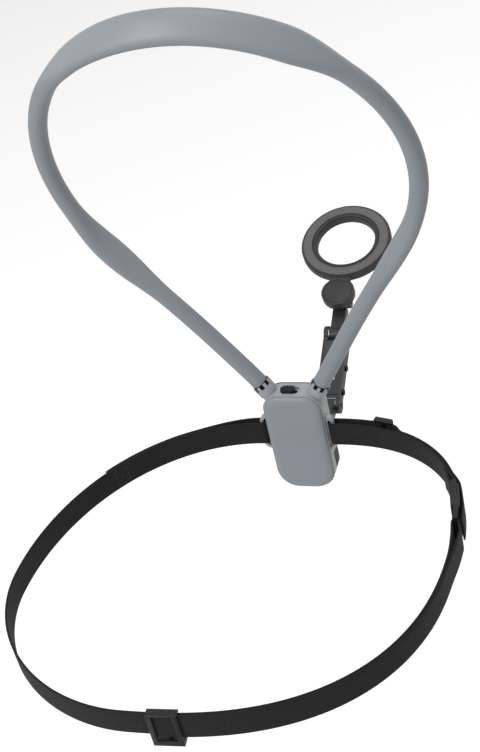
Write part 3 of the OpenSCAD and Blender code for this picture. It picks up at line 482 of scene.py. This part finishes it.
def hoop_at(u):
    """A point of the route: u runs from -half_len at the left end to half_len at the right."""
    q = abs(u)
    if q < arc_len:
        turn = math.pi / 2 - q / hoop_r
        x, z = hoop_r * math.cos(turn), hoop_centre_z + hoop_r * math.sin(turn)
    else:
        rest = q - arc_len
        bow = leg_bow * math.sin(math.pi * min(1.0, rest / leg_len)) ** 2
        x = hoop_r * math.cos(leg_angle) - rest * math.sin(leg_angle) - bow
        z = bend_z - rest * math.cos(leg_angle)
    back = nape_back * (max(0.0, z - bend_z) / (apex_z - bend_z)) ** 2
    return Vector((math.copysign(x, u), socket_y - leg_y(z) - back, z))


def hoop_dir(u):
    """The way the hoop runs at a point of its route."""
    step = 0.5 * mm
    if abs(u) > half_len - step:
        return Vector((-math.sin(leg_angle), 0, -math.copysign(math.cos(leg_angle), u)))
    return (hoop_at(u + step) - hoop_at(u - step)).normalized()


print("hoop length", round(2 * half_len / mm), "mm")

# %% Pads along the hoop
tube_d = 10.3 * mm
neck_pad_w = 17.8 * mm
neck_pad_t = 7.8 * mm
neck_pad_half = 58 * mm
pad_taper = 36 * mm
collar_pad_w = 16.6 * mm
collar_pad_t = 8 * mm
collar_pad_half = 42 * mm
collar_past_bend = 5 * mm
collar_q = arc_len + collar_past_bend
neck_dir = Vector((0, 0.6, 0.8))
collar_dir = Vector((-0.35, 0.91, 0.2))
neck_twist = math.radians(16)
twist_start = 10 * mm
twist_reach = 50 * mm
twist_end = 80 * mm
twist_fade = 70 * mm


def neck_share(u):
    return 1 - smooth((abs(u) - neck_pad_half) / pad_taper)


def collar_share(u):
    away = abs(abs(u) - collar_q)
    return math.cos(math.pi / 2 * away / collar_pad_half) ** 2 if away < collar_pad_half else 0.0


def twist_at(u):
    """The left half of the neck pad is turned a little, as it lies in the picture."""
    return (neck_twist * smooth((-u - twist_start) / twist_reach)
            * (1 - smooth((-u - twist_end) / twist_fade)))


def side_dir(u):
    """The way in which the hoop's section is wide, square to the route."""
    far = Vector((collar_dir.x * math.copysign(1, u), collar_dir.y, collar_dir.z))
    share = smooth((abs(u) - neck_pad_half) / (collar_q - neck_pad_half))
    raw = neck_dir.lerp(far, share)
    run = hoop_dir(u)
    side = (raw - run * raw.dot(run)).normalized()
    return side * math.cos(twist_at(u)) - run.cross(side) * math.sin(twist_at(u))


print("neck pad", round(2 * neck_pad_half / mm), "mm long before it tapers")

# %% [markdown]
# ## Silicone sleeve
# The sleeve is one moulding, round on the legs and flattened into pads behind the neck and on
# the collarbones. Its section is a superellipse: exponent 2 is a true oval, and a larger one
# has flatter faces and tighter edges. Its ends turn in to the metal core with a small lip.

# %% Hoop sleeve
sleeve_rings = 150
sleeve_sides = 32
lip_r = 0.8 * mm
lip_steps = 4
bore_r = 2.9 * mm
flat_exponent = 0.75
collar_flatness = 0.8

stations = [(-half_len + lip_r + (2 * half_len - 2 * lip_r) * i / sleeve_rings, 0.0)
            for i in range(sleeve_rings + 1)]
for k in range(1, lip_steps + 1):
    turn = math.pi / 2 * k / lip_steps
    reach = half_len - lip_r + lip_r * math.sin(turn)
    inset = lip_r * (1 - math.cos(turn))
    stations = [(-reach, inset)] + stations + [(reach, inset)]
stations = [(-half_len, None)] + stations + [(half_len, None)]


def oval_point(angle, exponent):
    """A point of a superellipse of half width 1 and half height 1."""
    def reach(value):
        return math.copysign(abs(value) ** (2 / exponent), value)
    return reach(math.cos(angle)), reach(math.sin(angle))


def sleeve_place(row, column):
    """A point of the section at one station, and its place on the UV map."""
    u, inset = stations[row]
    angle = 2 * math.pi * column / sleeve_sides
    neck, collar = neck_share(u), collar_share(u)
    flat = max(neck, collar_flatness * collar)
    width = tube_d + (neck_pad_w - tube_d) * neck + (collar_pad_w - tube_d) * collar
    thick = tube_d + (neck_pad_t - tube_d) * neck + (collar_pad_t - tube_d) * collar
    if inset is None:
        width = thick = 2 * bore_r
        inset = 0.0
    a, b = oval_point(angle, 2 + flat_exponent * flat)
    side = side_dir(u)
    face = hoop_dir(u).cross(side)
    point = hoop_at(u) + side * a * (width / 2 - inset) + face * b * (thick / 2 - inset)
    return point, (u, angle * tube_d / 2)


sleeve = laid_grid("Hoop_sleeve", len(stations) - 1, sleeve_sides, sleeve_place, True)
finish_piece(sleeve, silicone, "silicone", "holder", "hoop_sleeve")

# %% [markdown]
# ## Chest pad
# The pad is a soft silicone cushion, seen face on in the picture. It starts as a flat plate
# whose corners are rounded. Its top is then inset and lifted again and again by the steps of a
# superellipse, which gives a full round rim that runs into a nearly flat face with no fold.

# %% Chest pad
pad_w = 36 * mm
pad_h = 71 * mm
pad_t = 3 * mm
pad_top_r = 10.5 * mm
pad_bottom_r = 13 * mm
pad_foot = 0.5 * mm
pad_roll = 5.6 * mm
pad_roll_power = 2.1
pad_steps = 14
pad_corner_segments = 18


def select_points(piece, test):
    """Selects in edit mode the points that pass a test, and nothing else."""
    bpy.ops.mesh.select_all(action="DESELECT")
    bpy.ops.object.mode_set(mode="OBJECT")
    for vertex in piece.data.vertices:
        vertex.select = test(vertex.co)
    bpy.ops.object.mode_set(mode="EDIT")


def rounded_plate(name, width, height, top_r, bottom_r, segments):
    """A flat plate with rounded corners, left in edit mode with its face selected."""
    bpy.ops.mesh.primitive_plane_add(size=1)
    plate = bpy.context.object
    plate.name = name
    plate.scale = (width, height, 1)
    only(plate)
    bpy.ops.object.transform_apply(scale=True)
    edit(plate)
    bpy.ops.mesh.select_mode(type="VERT")
    select_points(plate, lambda co: co.y > 0)
    bpy.ops.mesh.bevel(offset=top_r, segments=segments, affect="VERTICES")
    select_points(plate, lambda co: co.y < bottom_r - height / 2 - weld / 2)
    bpy.ops.mesh.bevel(offset=bottom_r, segments=segments, affect="VERTICES")
    bpy.ops.mesh.select_mode(type="FACE")
    bpy.ops.mesh.select_all(action="SELECT")
    return plate


def rolled_rim(roll, rise, power, steps):
    """The steps (inset, lift) of a superellipse from an upright wall to a level face."""
    turns = [math.pi / 2 * k / steps for k in range(steps + 1)]
    spots = [(roll * (1 - math.cos(t) ** (2 / power)), rise * math.sin(t) ** (2 / power))
             for t in turns]
    spots[-1] = (roll, rise)
    return [(b[0] - a[0], b[1] - a[1]) for a, b in zip(spots, spots[1:])]


pad = rounded_plate("Chest_pad", pad_w, pad_h, pad_top_r, pad_bottom_r, pad_corner_segments)
bpy.ops.mesh.extrude_region_move(TRANSFORM_OT_translate={"value": (0, 0, pad_foot)})
for inset, lift in rolled_rim(pad_roll, pad_t - pad_foot, pad_roll_power, pad_steps):
    bpy.ops.mesh.inset(thickness=inset)
    bpy.ops.transform.translate(value=(0, 0, lift))
close_up(pad)
settle(pad, Matrix.Translation((0, pad_t, 0)) @ Matrix.Rotation(math.pi / 2, 4, "X"))
smoothed(pad)
finish_piece(pad, silicone, "silicone", "holder", "chest_pad")

# %% [markdown]
# ## Rigid pieces with rounded edges
# The CAD solids of the housing, the arm and the buckle already have the right shape, but their
# edges are knife sharp, and no moulded or machined edge is. Each is copied, its loose triangles
# are merged back into whole faces, and a bevel rounds its edges by what that piece would have.

# %% Copies of rigid nodes
flat_turn = math.radians(0.5)


def copied(node, name):
    """A copy of a CAD node whose loose triangles are merged back into whole faces."""
    piece = bpy.data.objects.new(name, nodes[node].data.copy())
    bpy.context.scene.collection.objects.link(piece)
    edit(piece)
    bpy.ops.mesh.remove_doubles(threshold=weld / 2)
    bpy.ops.mesh.dissolve_limited(angle_limit=flat_turn)
    done()
    return piece


# Node, new name, finish, slot, body, and how far its edges are rounded
rigid = [
    ("main_body", "Housing_shell", housing_paint, "housing_grey", "holder", 0.45 * mm),
    ("front_cover", "Front_cover", cover_skin, "cover_black", "holder", 0.25 * mm),
    ("lock_slider", "Lock_slider", cover_skin, "cover_black", "lock", 0.14 * mm),
    ("dock_block", "Arm_dock", arm_skin, "arm_plastic", "holder", 0.5 * mm),
    ("arm_base", "Arm_base", arm_skin, "arm_plastic", "holder", 0.4 * mm),
    ("lower_link_left", "Lower_link_left", arm_skin, "arm_plastic", "lower_arm", 0.4 * mm),
    ("lower_link_right", "Lower_link_right", arm_skin, "arm_plastic", "lower_arm", 0.4 * mm),
    ("upper_link", "Upper_link", arm_skin, "arm_plastic", "upper_arm", 0.4 * mm),
    ("swivel_base", "Swivel_base", arm_skin, "arm_plastic", "head", 0.35 * mm),
    ("swivel_cap", "Swivel_cap", arm_skin, "arm_plastic", "ring", 0.2 * mm),
    ("ring_frame", "Ring_frame", arm_skin, "arm_plastic", "ring", 0.5 * mm),
    ("front_triglide", "Front_triglide", buckle_skin, "buckle_plastic", "front_adjuster",
     0.4 * mm),
    ("rear_triglide", "Rear_triglide", buckle_skin, "buckle_plastic", "rear_adjuster", 0.4 * mm),
    ("buckle_socket", "Buckle_socket", buckle_skin, "buckle_plastic", "holder", 0.6 * mm),
    ("buckle_plug", "Buckle_plug", buckle_skin, "buckle_plastic", "holder", 0.5 * mm),
]
for node, name, material, slot, body, width in rigid:
    piece = copied(node, name)
    soften(piece, width)
    finish_piece(piece, material, slot, body, node)

# %% [markdown]
# ## Screws and pins
# The pins and the links' screws have heads with a hexagon socket. The socket is cut out of a
# copy of the CAD node by a six sided bar, and the bevel then breaks the edges of both. The nuts
# and the hidden screws only have their edges broken.

# %% Hexagon sockets
hinge_rise = math.radians(26.3)
link_screw_shares = [0.18, 0.51]
lower_len = 53 * mm
# Across the flats, the depth of the socket and the width of the broken edges
pin_hex = (3 * mm, 0.9 * mm, 0.25 * mm)
tilt_hex = (2 * mm, 0.7 * mm, 0.18 * mm)
link_hex = (1.8 * mm, 0.9 * mm, 0.25 * mm)
right = Vector((1, 0, 0))


def hex_bar(place, way, flats, depth):
    """A six sided bar whose middle lies at a place, along one way."""
    bpy.ops.mesh.primitive_cylinder_add(vertices=6, radius=flats / math.sqrt(3), depth=2 * depth)
    bar = bpy.context.object
    settle(bar, Matrix.Translation(place) @ way.to_track_quat("Z", "Y").to_matrix().to_4x4())
    return bar


def socketed(node, name, body, places, size):
    """A blackened copy of a node, with a hexagon socket at each place along x."""
    flats, depth, edge = size
    piece = copied(node, name)
    for place in places:
        cut_by(piece, hex_bar(place, right, flats, depth))
    soften(piece, edge, segments=2)
    finish_piece(piece, black_steel, "black_steel", body, node)


def pin_end(node):
    """The middle of a pin's head, at its right end."""
    low, high = (Vector(corner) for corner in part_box(node))
    return Vector((high.x, (low.y + high.y) / 2, (low.z + high.z) / 2))


base_hinge = pin_end("base_pin")
tilt_end = pin_end("tilt_pin")
screw_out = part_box("link_screws")[1][0]
link_way = Vector((0, math.cos(hinge_rise), math.sin(hinge_rise))) * lower_len
link_spots = [Vector((screw_out, base_hinge.y, base_hinge.z)) + link_way * share
              for share in link_screw_shares]
other_tilt_end = Vector((-tilt_end.x, tilt_end.y, tilt_end.z))
socketed("base_pin", "Base_pin", "lower_arm", [base_hinge], pin_hex)
socketed("elbow_pin", "Elbow_pin", "lower_arm", [pin_end("elbow_pin")], pin_hex)
socketed("tilt_pin", "Tilt_pin", "head", [tilt_end, other_tilt_end], tilt_hex)
socketed("link_screws", "Link_screws", "lower_arm", link_spots, link_hex)

# %% Nuts and hidden screws
hardware_edge = 0.2 * mm
plain_hardware = [
    ("base_nut", "Base_nut", black_steel, "black_steel", "lower_arm"),
    ("elbow_nut", "Elbow_nut", black_steel, "black_steel", "lower_arm"),
    ("cover_screws", "Cover_screws", steel, "steel", "holder"),
    ("dock_screws", "Dock_screws", steel, "steel", "holder"),
    ("latch_screw", "Latch_screw", steel, "steel", "lock"),
    ("swivel_screw", "Swivel_screw", steel, "steel", "head"),
]
for node, name, material, slot, body in plain_hardware:
    piece = copied(node, name)
    soften(piece, hardware_edge, segments=2)
    finish_piece(piece, material, slot, body, node)

# %% [markdown]
# ## Belt route
# Seen from above, the belt is four quarter ovals, each bulged a little where the webbing stands
# off the body. A place on it is asked for by its turn in degrees, clockwise from the right ear.

# %% Belt route
slot_x = 21.4 * mm
belt_front_y = 3.9 * mm
belt_z = 6 * mm
belt_right_x = 109.8 * mm
belt_left_x = 134.8 * mm
belt_right_y = 89 * mm
belt_left_y = 133 * mm
belt_back_y = 224.6 * mm
belt_back_x = 40 * mm
bulges = [2.41, 2.46, 1.91, 2]


def belt_line(turn):
    """A point of the belt's middle line, from the quarter oval that this turn falls in."""
    quarter = min(3, int(turn // 90))
    angle = math.radians(turn - 90 * quarter)
    rise = abs(math.sin(angle)) ** (2 / bulges[quarter])
    run = abs(math.cos(angle)) ** (2 / bulges[quarter])
    if quarter == 0:
        return Vector((slot_x + (belt_right_x - slot_x) * rise,
                       -belt_right_y + (belt_front_y + belt_right_y) * run))
    if quarter == 1:
        return Vector((-belt_back_x + (belt_right_x + belt_back_x) * run,
                       -belt_right_y - (belt_back_y - belt_right_y) * rise))
    if quarter == 2:
        return Vector((-belt_back_x - (belt_left_x - belt_back_x) * rise,
                       -belt_left_y - (belt_back_y - belt_left_y) * run))
    return Vector((-slot_x - (belt_left_x - slot_x) * run,
                   -belt_left_y + (belt_front_y + belt_left_y) * rise))


def belt_dir(turn):
    """The way the belt runs at a turn."""
    step = 0.2
    if turn < step or turn > 360 - step:
        return Vector((1, 0))
    return (belt_line(turn + step) - belt_line(turn - step)).normalized()


def belt_at(turn, off):
    """A point that lies this far outside the belt's middle line."""
    run = belt_dir(turn)
    return belt_line(turn) + Vector((-run.y, run.x)) * off


# %% Belt layers and bars
layer_gap = 0.25 * mm
lane = web_t + layer_gap
ear_t = 3.4 * mm
ear_bar_out = 1 * mm
ear_turn_r = ear_t / 2 + layer_gap + web_t / 2
ear_bar = Vector((slot_x + ear_bar_out, belt_front_y + ear_turn_r))
left_bar = Vector((-ear_bar.x, ear_bar.y))
buckle_bar_d = 1.8 * mm
bar_off = buckle_bar_d / 2 + layer_gap + web_t / 2
buckle_turn = 76.8
buckle_half_turn = 8.65
socket_turn = buckle_turn - buckle_half_turn
plug_turn = buckle_turn + buckle_half_turn
sewn_turn = 11
ear_ease = 22
bar_ease = 8
turn_gap = 1
tail_drop_turn = 20.8
tail_lie_turn = 26
front_tail_turn = 84.8
rear_tail_turn = 176.3
loop_bulge = 1.6 * mm
loop_rise_turn = 3
loop_fall_turn = 11.5
left_tail_turn = 310
bend_steps = 14
print("buckle between", round(socket_turn, 1), "and", round(plug_turn, 1), "degrees")

# %% Belt routes
def ramp(turn, start, end):
    return smooth((turn - start) / (end - start))


def socket_share(turn):
    """1 from the socket's bar on, easing to 0 before it."""
    return ramp(turn, socket_turn - bar_ease, socket_turn)


def plug_share(turn):
    """1 at the plug's bar, easing to 0 past it."""
    return 1 - ramp(turn, plug_turn, plug_turn + bar_ease)


def tail_off(turn):
    """The front strap's tail comes off the ear's bar, then drops onto the layer inside it."""
    dropped = ramp(turn, tail_drop_turn, tail_lie_turn)
    return 2 * ear_turn_r + (lane - 2 * ear_turn_r) * dropped + bar_off * socket_share(turn)


def sewn_off(turn):
    """The front strap's sewn end lies inside the layer that goes on to the ear."""
    return -lane - (bar_off - lane) * socket_share(turn)


def left_off(turn):
    """The long strap's end leaves the left ear's bar and comes down onto the layer inside it."""
    return 2 * ear_turn_r + (lane - 2 * ear_turn_r) * ramp(360 - turn, 0, ear_ease)


def return_off(turn):
    """The returning layer first stands off the main one, and they close up further along."""
    loop = (ramp(turn, plug_turn, plug_turn + loop_rise_turn)
            * (1 - ramp(turn, plug_turn + loop_rise_turn, plug_turn + loop_fall_turn)))
    return lane + (bar_off - lane) * plug_share(turn) + loop_bulge * loop


def turns(start, end, step=1.0):
    """Even steps from one turn to another."""
    count = math.ceil(abs(end - start) / step)
    return [start + (end - start) * i / count for i in range(count + 1)]


def half_round(centre, radius, start, way):
    """Points of the half turn that the webbing makes round a bar: way is 1 or -1."""
    angles = [math.radians(start + way * 180 * k / bend_steps) for k in range(1, bend_steps)]
    return [centre + Vector((math.cos(a), math.sin(a))) * radius for a in angles]


def belt_heading(turn):
    run = belt_dir(turn)
    return math.degrees(math.atan2(run.y, run.x))


up = Vector((0, ear_turn_r))
front_route = (
    [belt_at(a, sewn_off(a)) for a in turns(socket_turn - sewn_turn, socket_turn)]
    + half_round(belt_line(socket_turn), bar_off, belt_heading(socket_turn) - 90, 1)
    + [belt_at(a, bar_off * socket_share(a)) for a in turns(socket_turn, turn_gap)]
    + [ear_bar - up] + half_round(ear_bar, ear_turn_r, -90, -1) + [ear_bar + up]
    + [belt_at(a, tail_off(a)) for a in turns(turn_gap, front_tail_turn)])
long_route = (
    [belt_at(a, left_off(a)) for a in turns(left_tail_turn, 360 - turn_gap)]
    + [left_bar + up] + half_round(left_bar, ear_turn_r, 90, -1) + [left_bar - up]
    + [belt_at(a, -bar_off * plug_share(a)) for a in turns(360 - turn_gap, plug_turn)]
    + half_round(belt_line(plug_turn), bar_off, belt_heading(plug_turn) - 90, -1)
    + [belt_at(a, return_off(a)) for a in turns(plug_turn, rear_tail_turn)])
print("route points", len(front_route), len(long_route))

# %% [markdown]
# ## Straps
# Webbing is a flat ribbon whose bound edges stand a little apart from its ribbed middle, so its
# section is a rounded bar with a shallow groove near each edge. The section follows the route,
# and the UV map keeps true lengths.

# %% Straps
half_w = web_w / 2
half_t = web_t / 2
# Across and out from the middle, as shares of half the width and half the thickness
quarter_up = [(0.0, 1.0), (0.4, 1.0), (0.8, 1.0), (0.85, 0.92), (0.89, 0.98), (0.94, 1.0),
              (0.975, 0.88), (0.995, 0.5), (1.0, 0.0)]
quarter_down = [(a, -b) for a, b in quarter_up[:-1]][::-1]
right_side = quarter_up + quarter_down
left_side = [(-a, b) for a, b in right_side[1:-1]][::-1]
section = right_side + left_side + right_side[:1]
sealed_share = 0.8


def lengths_along(route):
    lengths = [0.0]
    for before, after in zip(route, route[1:]):
        lengths.append(lengths[-1] + (after - before).length)
    return lengths


def capped(piece):
    """Closes the tube's two open ends, and merges the seam along it."""
    edit(piece)
    bpy.ops.mesh.remove_doubles(threshold=weld)
    bpy.ops.mesh.select_all(action="DESELECT")
    bpy.ops.mesh.select_mode(type="EDGE")
    bpy.ops.mesh.select_non_manifold()
    bpy.ops.mesh.edge_face_add()
    bpy.ops.mesh.select_all(action="SELECT")
    bpy.ops.mesh.normals_make_consistent(inside=False)
    done()


def strap(name, route):
    """A strap along a route, in true lengths on its UV map."""
    lengths = lengths_along(route)
    last = len(route) - 1

    def place(row, column):
        run = (route[min(row + 1, last)] - route[max(row - 1, 0)]).normalized()
        across, out = section[column]
        # The cut ends are pressed and heat sealed, so they thin a little
        seal = sealed_share if row in (0, last) else 1.0
        spot = route[row] + Vector((-run.y, run.x)) * out * half_t * seal
        height = belt_z + across * half_w
        return Vector((spot.x, spot.y, height)), (lengths[row], (across + 1) * half_w)

    piece = laid_grid(name, last, len(section) - 1, place, False)
    capped(piece)
    print(name, "length", round(lengths[-1] / mm), "mm")
    return piece


for name, route, node in (("Front_strap", front_route, "front_strap"),
                          ("Long_strap", long_route, "long_strap")):
    finish_piece(strap(name, route), webbing, "webbing", "holder", node)

# %% [markdown]
# ## Stitches
# Where a strap is folded round a bar for good, it is sewn with a box and a cross. A stitch is a
# bead of thread that sinks in at both ends, so one long low ball is made and copied along the
# lines of the box: on both faces of the two layers at the left ear, and on the inner face at the
# buckle.

# %% Stitches
stitch_l = 1.9 * mm
stitch_gap = 0.35 * mm
stitch_w = 0.5 * mm
stitch_h = 0.18 * mm
stitch_sides = 6
stitch_rings = 5
box_l = 8.5 * mm
box_h = 11 * mm


def sewn_lines(length, height):
    """The box and its cross, as pairs of (along, up) ends."""
    a, b = length / 2, height / 2
    corners = [(-a, -b), (a, -b), (a, b), (-a, b)]
    sides = list(zip(corners, corners[1:] + corners[:1]))
    return sides + [(corners[0], corners[2]), (corners[1], corners[3])]


def belt_frame(turn, off, height, slant):
    """Where one stitch lies: X along it, Z out of the webbing's face."""
    run = belt_dir(turn)
    out = math.copysign(1, off[1])
    spot = belt_at(turn, off[0] + out * half_t)
    along = Vector((run.x, run.y, 0)) * math.cos(slant) + Vector((0, 0, 1)) * math.sin(slant)
    face = Vector((-run.y, run.x, 0)) * out
    rest = face.cross(along)
    turned = Matrix((along, rest, face)).transposed().to_4x4()
    return Matrix.Translation((spot.x, spot.y, belt_z + height)) @ turned


def stitch_spots(middle):
    """The turn, height and slant of each stitch of a box sewn about one turn of the belt."""
    per_turn = (belt_line(middle + 0.5) - belt_line(middle - 0.5)).length
    spots = []
    for (x0, z0), (x1, z1) in sewn_lines(box_l, box_h):
        count = round(math.hypot(x1 - x0, z1 - z0) / (stitch_l + stitch_gap))
        slant = math.atan2(z1 - z0, x1 - x0)
        for k in range(count):
            share = (k + 0.5) / count
            turn = middle + (x0 + (x1 - x0) * share) / per_turn
            spots.append((turn, z0 + (z1 - z0) * share, slant))
    return spots


def one_stitch():
    """A low bead of thread that sinks in at both ends."""
    bpy.ops.mesh.primitive_uv_sphere_add(segments=stitch_sides, ring_count=stitch_rings, radius=1)
    stitch = bpy.context.object
    stitch.scale = (stitch_l / 2, stitch_w / 2, stitch_h)
    only(stitch)
    bpy.ops.object.transform_apply(scale=True)
    return stitch


def sewn_box(name, middle, off):
    """A sewn box on one face: off gives the layer's distance out, and 1 or -1 for its face."""
    first = one_stitch()
    copies = []
    for turn, height, slant in stitch_spots(middle):
        copy = bpy.data.objects.new(name, first.data.copy())
        bpy.context.scene.collection.objects.link(copy)
        copy.data.transform(belt_frame(turn, off(turn), height, slant))
        copies.append(copy)
    bpy.data.objects.remove(first)
    only(copies[0])
    for copy in copies:
        copy.select_set(True)
    bpy.ops.object.join()
    sewn = bpy.context.object
    sewn.name = name
    only(sewn)
    bpy.ops.object.shade_smooth()
    return finish_piece(sewn, thread, "webbing", "holder")


buckle_box_in = 4.5
left_box_in = 4
buckle_sewn = socket_turn - sewn_turn + buckle_box_in
left_sewn = left_tail_turn + left_box_in
sewn_box("Buckle_stitches_in", buckle_sewn, lambda turn: (sewn_off(turn), -1))
sewn_box("Left_stitches_in", left_sewn, lambda turn: (0, -1))
sewn_box("Left_stitches_out", left_sewn, lambda turn: (left_off(turn), 1))

# %% [markdown]
# ## Ring face
# The ring's magnets lie under a rubber face moulded with fine rings. It is turned: a circle is
# extruded and scaled again and again, which draws its section from the hole out to the rim.

# %% Ring face
ring_angle = math.radians(18.7)
swivel = Vector((0, 134.42, 21.98)) * mm
ring_reach = 42 * mm
ring_hole_r = 20.2 * mm
ring_r = 31.3 * mm
face_rim = 0.8 * mm
face_low = 1 * mm
face_t = 1.2 * mm
ring_sides = 128
at_ring = (Matrix.Translation(swivel) @ Matrix.Rotation(ring_angle, 4, "X")
           @ Matrix.Translation((0, ring_reach, 0)))


def turned(name, section_points, sides):
    """Turns a section of (radius, height) points about Z, by extruding and scaling a circle."""
    radius, height = section_points[0]
    bpy.ops.mesh.primitive_circle_add(vertices=sides, radius=radius, location=(0, 0, height),
                                      fill_type="NOTHING")
    piece = bpy.context.object
    piece.name = name
    edit(piece)
    for new_radius, new_height in section_points[1:]:
        bpy.ops.mesh.extrude_region_move(
            TRANSFORM_OT_translate={"value": (0, 0, new_height - height)})
        bpy.ops.transform.resize(value=(new_radius / radius, new_radius / radius, 1))
        radius, height = new_radius, new_height
    close_up(piece)
    return piece


# %% Turned ring face
face_in = ring_hole_r + face_rim
face_out = ring_r - face_rim
face_top = face_low + face_t
edge_r = 0.35 * mm
lanes = 9
lane_w = (face_out - face_in - 2 * edge_r) / lanes
groove_w = 0.3 * mm
groove_d = 0.3 * mm
ring_shading_turn = math.radians(30)
face_section = [(face_in, face_low), (face_in, face_top - edge_r), (face_in + edge_r, face_top)]
for i in range(1, lanes):
    middle = face_in + edge_r + lane_w * i
    face_section += [(middle - groove_w, face_top), (middle - groove_w / 2, face_top - groove_d),
                     (middle + groove_w / 2, face_top - groove_d), (middle + groove_w, face_top)]
face_section += [(face_out - edge_r, face_top), (face_out, face_top - edge_r),
                 (face_out, face_low), (face_in, face_low)]
ring_face = turned("Ring_face", face_section, ring_sides)
settle(ring_face, at_ring)
smoothed(ring_face, ring_shading_turn)
print("ring face", round(2 * face_in / mm, 1), "to", round(2 * face_out / mm, 1), "mm")

# %% Ring rubber
lane_middle = ring_hole_r + 0.58 * (ring_r - ring_hole_r)
lane_half = 3.3 * mm
lane_fade = 0.9 * mm
ring_line_pitch = 1.5 * mm
fine_pitch = 0.35 * mm
fine_depth = 0.03 * mm
dust_scale = 240.0


def ringed_rubber(name, dark, light):
    """Rubber with a broad paler lane nearer its rim, crossed by fine turned rings."""
    finish = Finish(name, Specular_IOR_Level=0.3)
    centre = at_ring.translation
    flat = finish.add("ShaderNodeMapping", {"vector_type": "TEXTURE"},
                      {"Vector": finish.place(), "Location": tuple(centre),
                       "Rotation": (ring_angle, 0.0, 0.0)})
    x, y, _ = finish.parts(flat)
    radius = (x * x + y * y).power(0.5)
    away = (radius - lane_middle).size()
    lane_share = ((lane_half - away) * (1 / lane_fade)).clipped(0.0, 1.0)
    rings = radius.stripes(ring_line_pitch)
    fine = radius.stripes(fine_pitch)
    dust = finish.noise(finish.place(), dust_scale, detail=3.0)
    shade = lane_share * (rings * 0.35 + 0.5) + dust * 0.15 + rings * 0.08
    finish.colour(finish.blend(shade.clipped(0.0, 1.0), dark, light))
    finish.roughness(dust * 0.15 + 0.4)
    finish.relief(fine, fine_depth)
    return finish.material


ring_rubber = ringed_rubber("Ring rubber", rgb(30, 29, 29), rgb(128, 126, 124))
finish_piece(ring_face, ring_rubber, "ring_rubber", "ring", "ring_face")

# %% [markdown]
# ## Finishes on the nodes that stay
# Washers, the core, the magnets and the plates inside the housing keep their CAD shape, because
# they are turned or punched parts whose edges are crisp. They still get a real metal.

# %% Nodes that keep their shape
kept = {
    steel: ["latch_plate", "hoop_core", "base_washers", "elbow_washers", "swivel_washer"],
    magnet_plate: ["ring_magnets"],
    socket_black: ["ferrule_left", "ferrule_right"],
}
for material, names in kept.items():
    for name in names:
        mesh = nodes[name].data
        mesh.materials.clear()
        mesh.materials.append(material)
print("kept nodes", sum(len(names) for names in kept.values()))

# %% [markdown]
# ## Studio
# The picture is a cut-out on white under soft, even light from above and in front. The floor
# lies well below the belt, so its shadow stays faint, and the white comes from what the camera
# sees of floor and world, not from more light on the object. Glosses see the world's white too.

# %% Ray switch
def shown(tree, *others):
    """1 for a ray from the camera and for each other kind of ray that is named."""
    path = tree.nodes.new("ShaderNodeLightPath")
    socket = path.outputs["Is Camera Ray"]
    for other in others:
        larger = tree.nodes.new("ShaderNodeMath")
        larger.operation = "MAXIMUM"
        tree.links.new(socket, larger.inputs[0])
        tree.links.new(path.outputs[other], larger.inputs[1])
        socket = larger.outputs[0]
    return socket


print("ray switch ready")

# %% Floor
floor_z = -360 * mm
floor_size = 30.0
floor_glow = 0.35
bpy.ops.mesh.primitive_plane_add(size=floor_size, location=(0, 0, floor_z))
floor = bpy.context.object
floor.name = "Studio_floor"
floor_finish = Finish("Studio floor", Roughness=0.9, Specular_IOR_Level=0.1)
floor_finish.colour(rgb(240, 240, 240))
seen = Field(floor_finish, shown(floor_finish.tree, "Is Transmission Ray"))
floor_finish.shader.inputs["Emission Color"].default_value = (1, 1, 1, 1)
floor_finish.put(floor_finish.shader.inputs["Emission Strength"], seen * floor_glow)
floor.data.materials.append(floor_finish.material)
print("floor", round(floor_z / mm), "mm down")

# %% World
ambient = 0.42
world = bpy.data.worlds.new("Studio")
bpy.context.scene.world = world
world.use_nodes = True
tree = world.node_tree
background = tree.nodes["Background"]
background.inputs["Color"].default_value = (1, 1, 1, 1)
strength = tree.nodes.new("ShaderNodeMix")
strength.inputs[2].default_value = ambient
strength.inputs[3].default_value = 1.0
tree.links.new(shown(tree, "Is Glossy Ray", "Is Transmission Ray"), strength.inputs[0])
tree.links.new(strength.outputs[0], background.inputs["Strength"])
print("world strength", ambient, "for light, 1 where it shows")

# %% Lamps
lamp_aim = Vector((0, -50, 100)) * mm


def softbox(name, place, size, watts):
    """A square lamp that faces the object, from a place and of a size in metres."""
    bpy.ops.object.light_add(type="AREA", location=place)
    lamp = bpy.context.object
    lamp.name = name
    lamp.data.size = size
    lamp.data.energy = watts
    aim = lamp_aim - lamp.location
    lamp.rotation_euler = aim.to_track_quat("-Z", "Y").to_euler()


softbox("Key", (-0.75, -1.35, 1.25), 0.7, 19)
softbox("Top", (0.1, -0.1, 1.9), 0.9, 8)
softbox("Back", (0.9, 1.5, 1.1), 1.0, 6)
bpy.context.scene.view_settings.view_transform = "Standard"
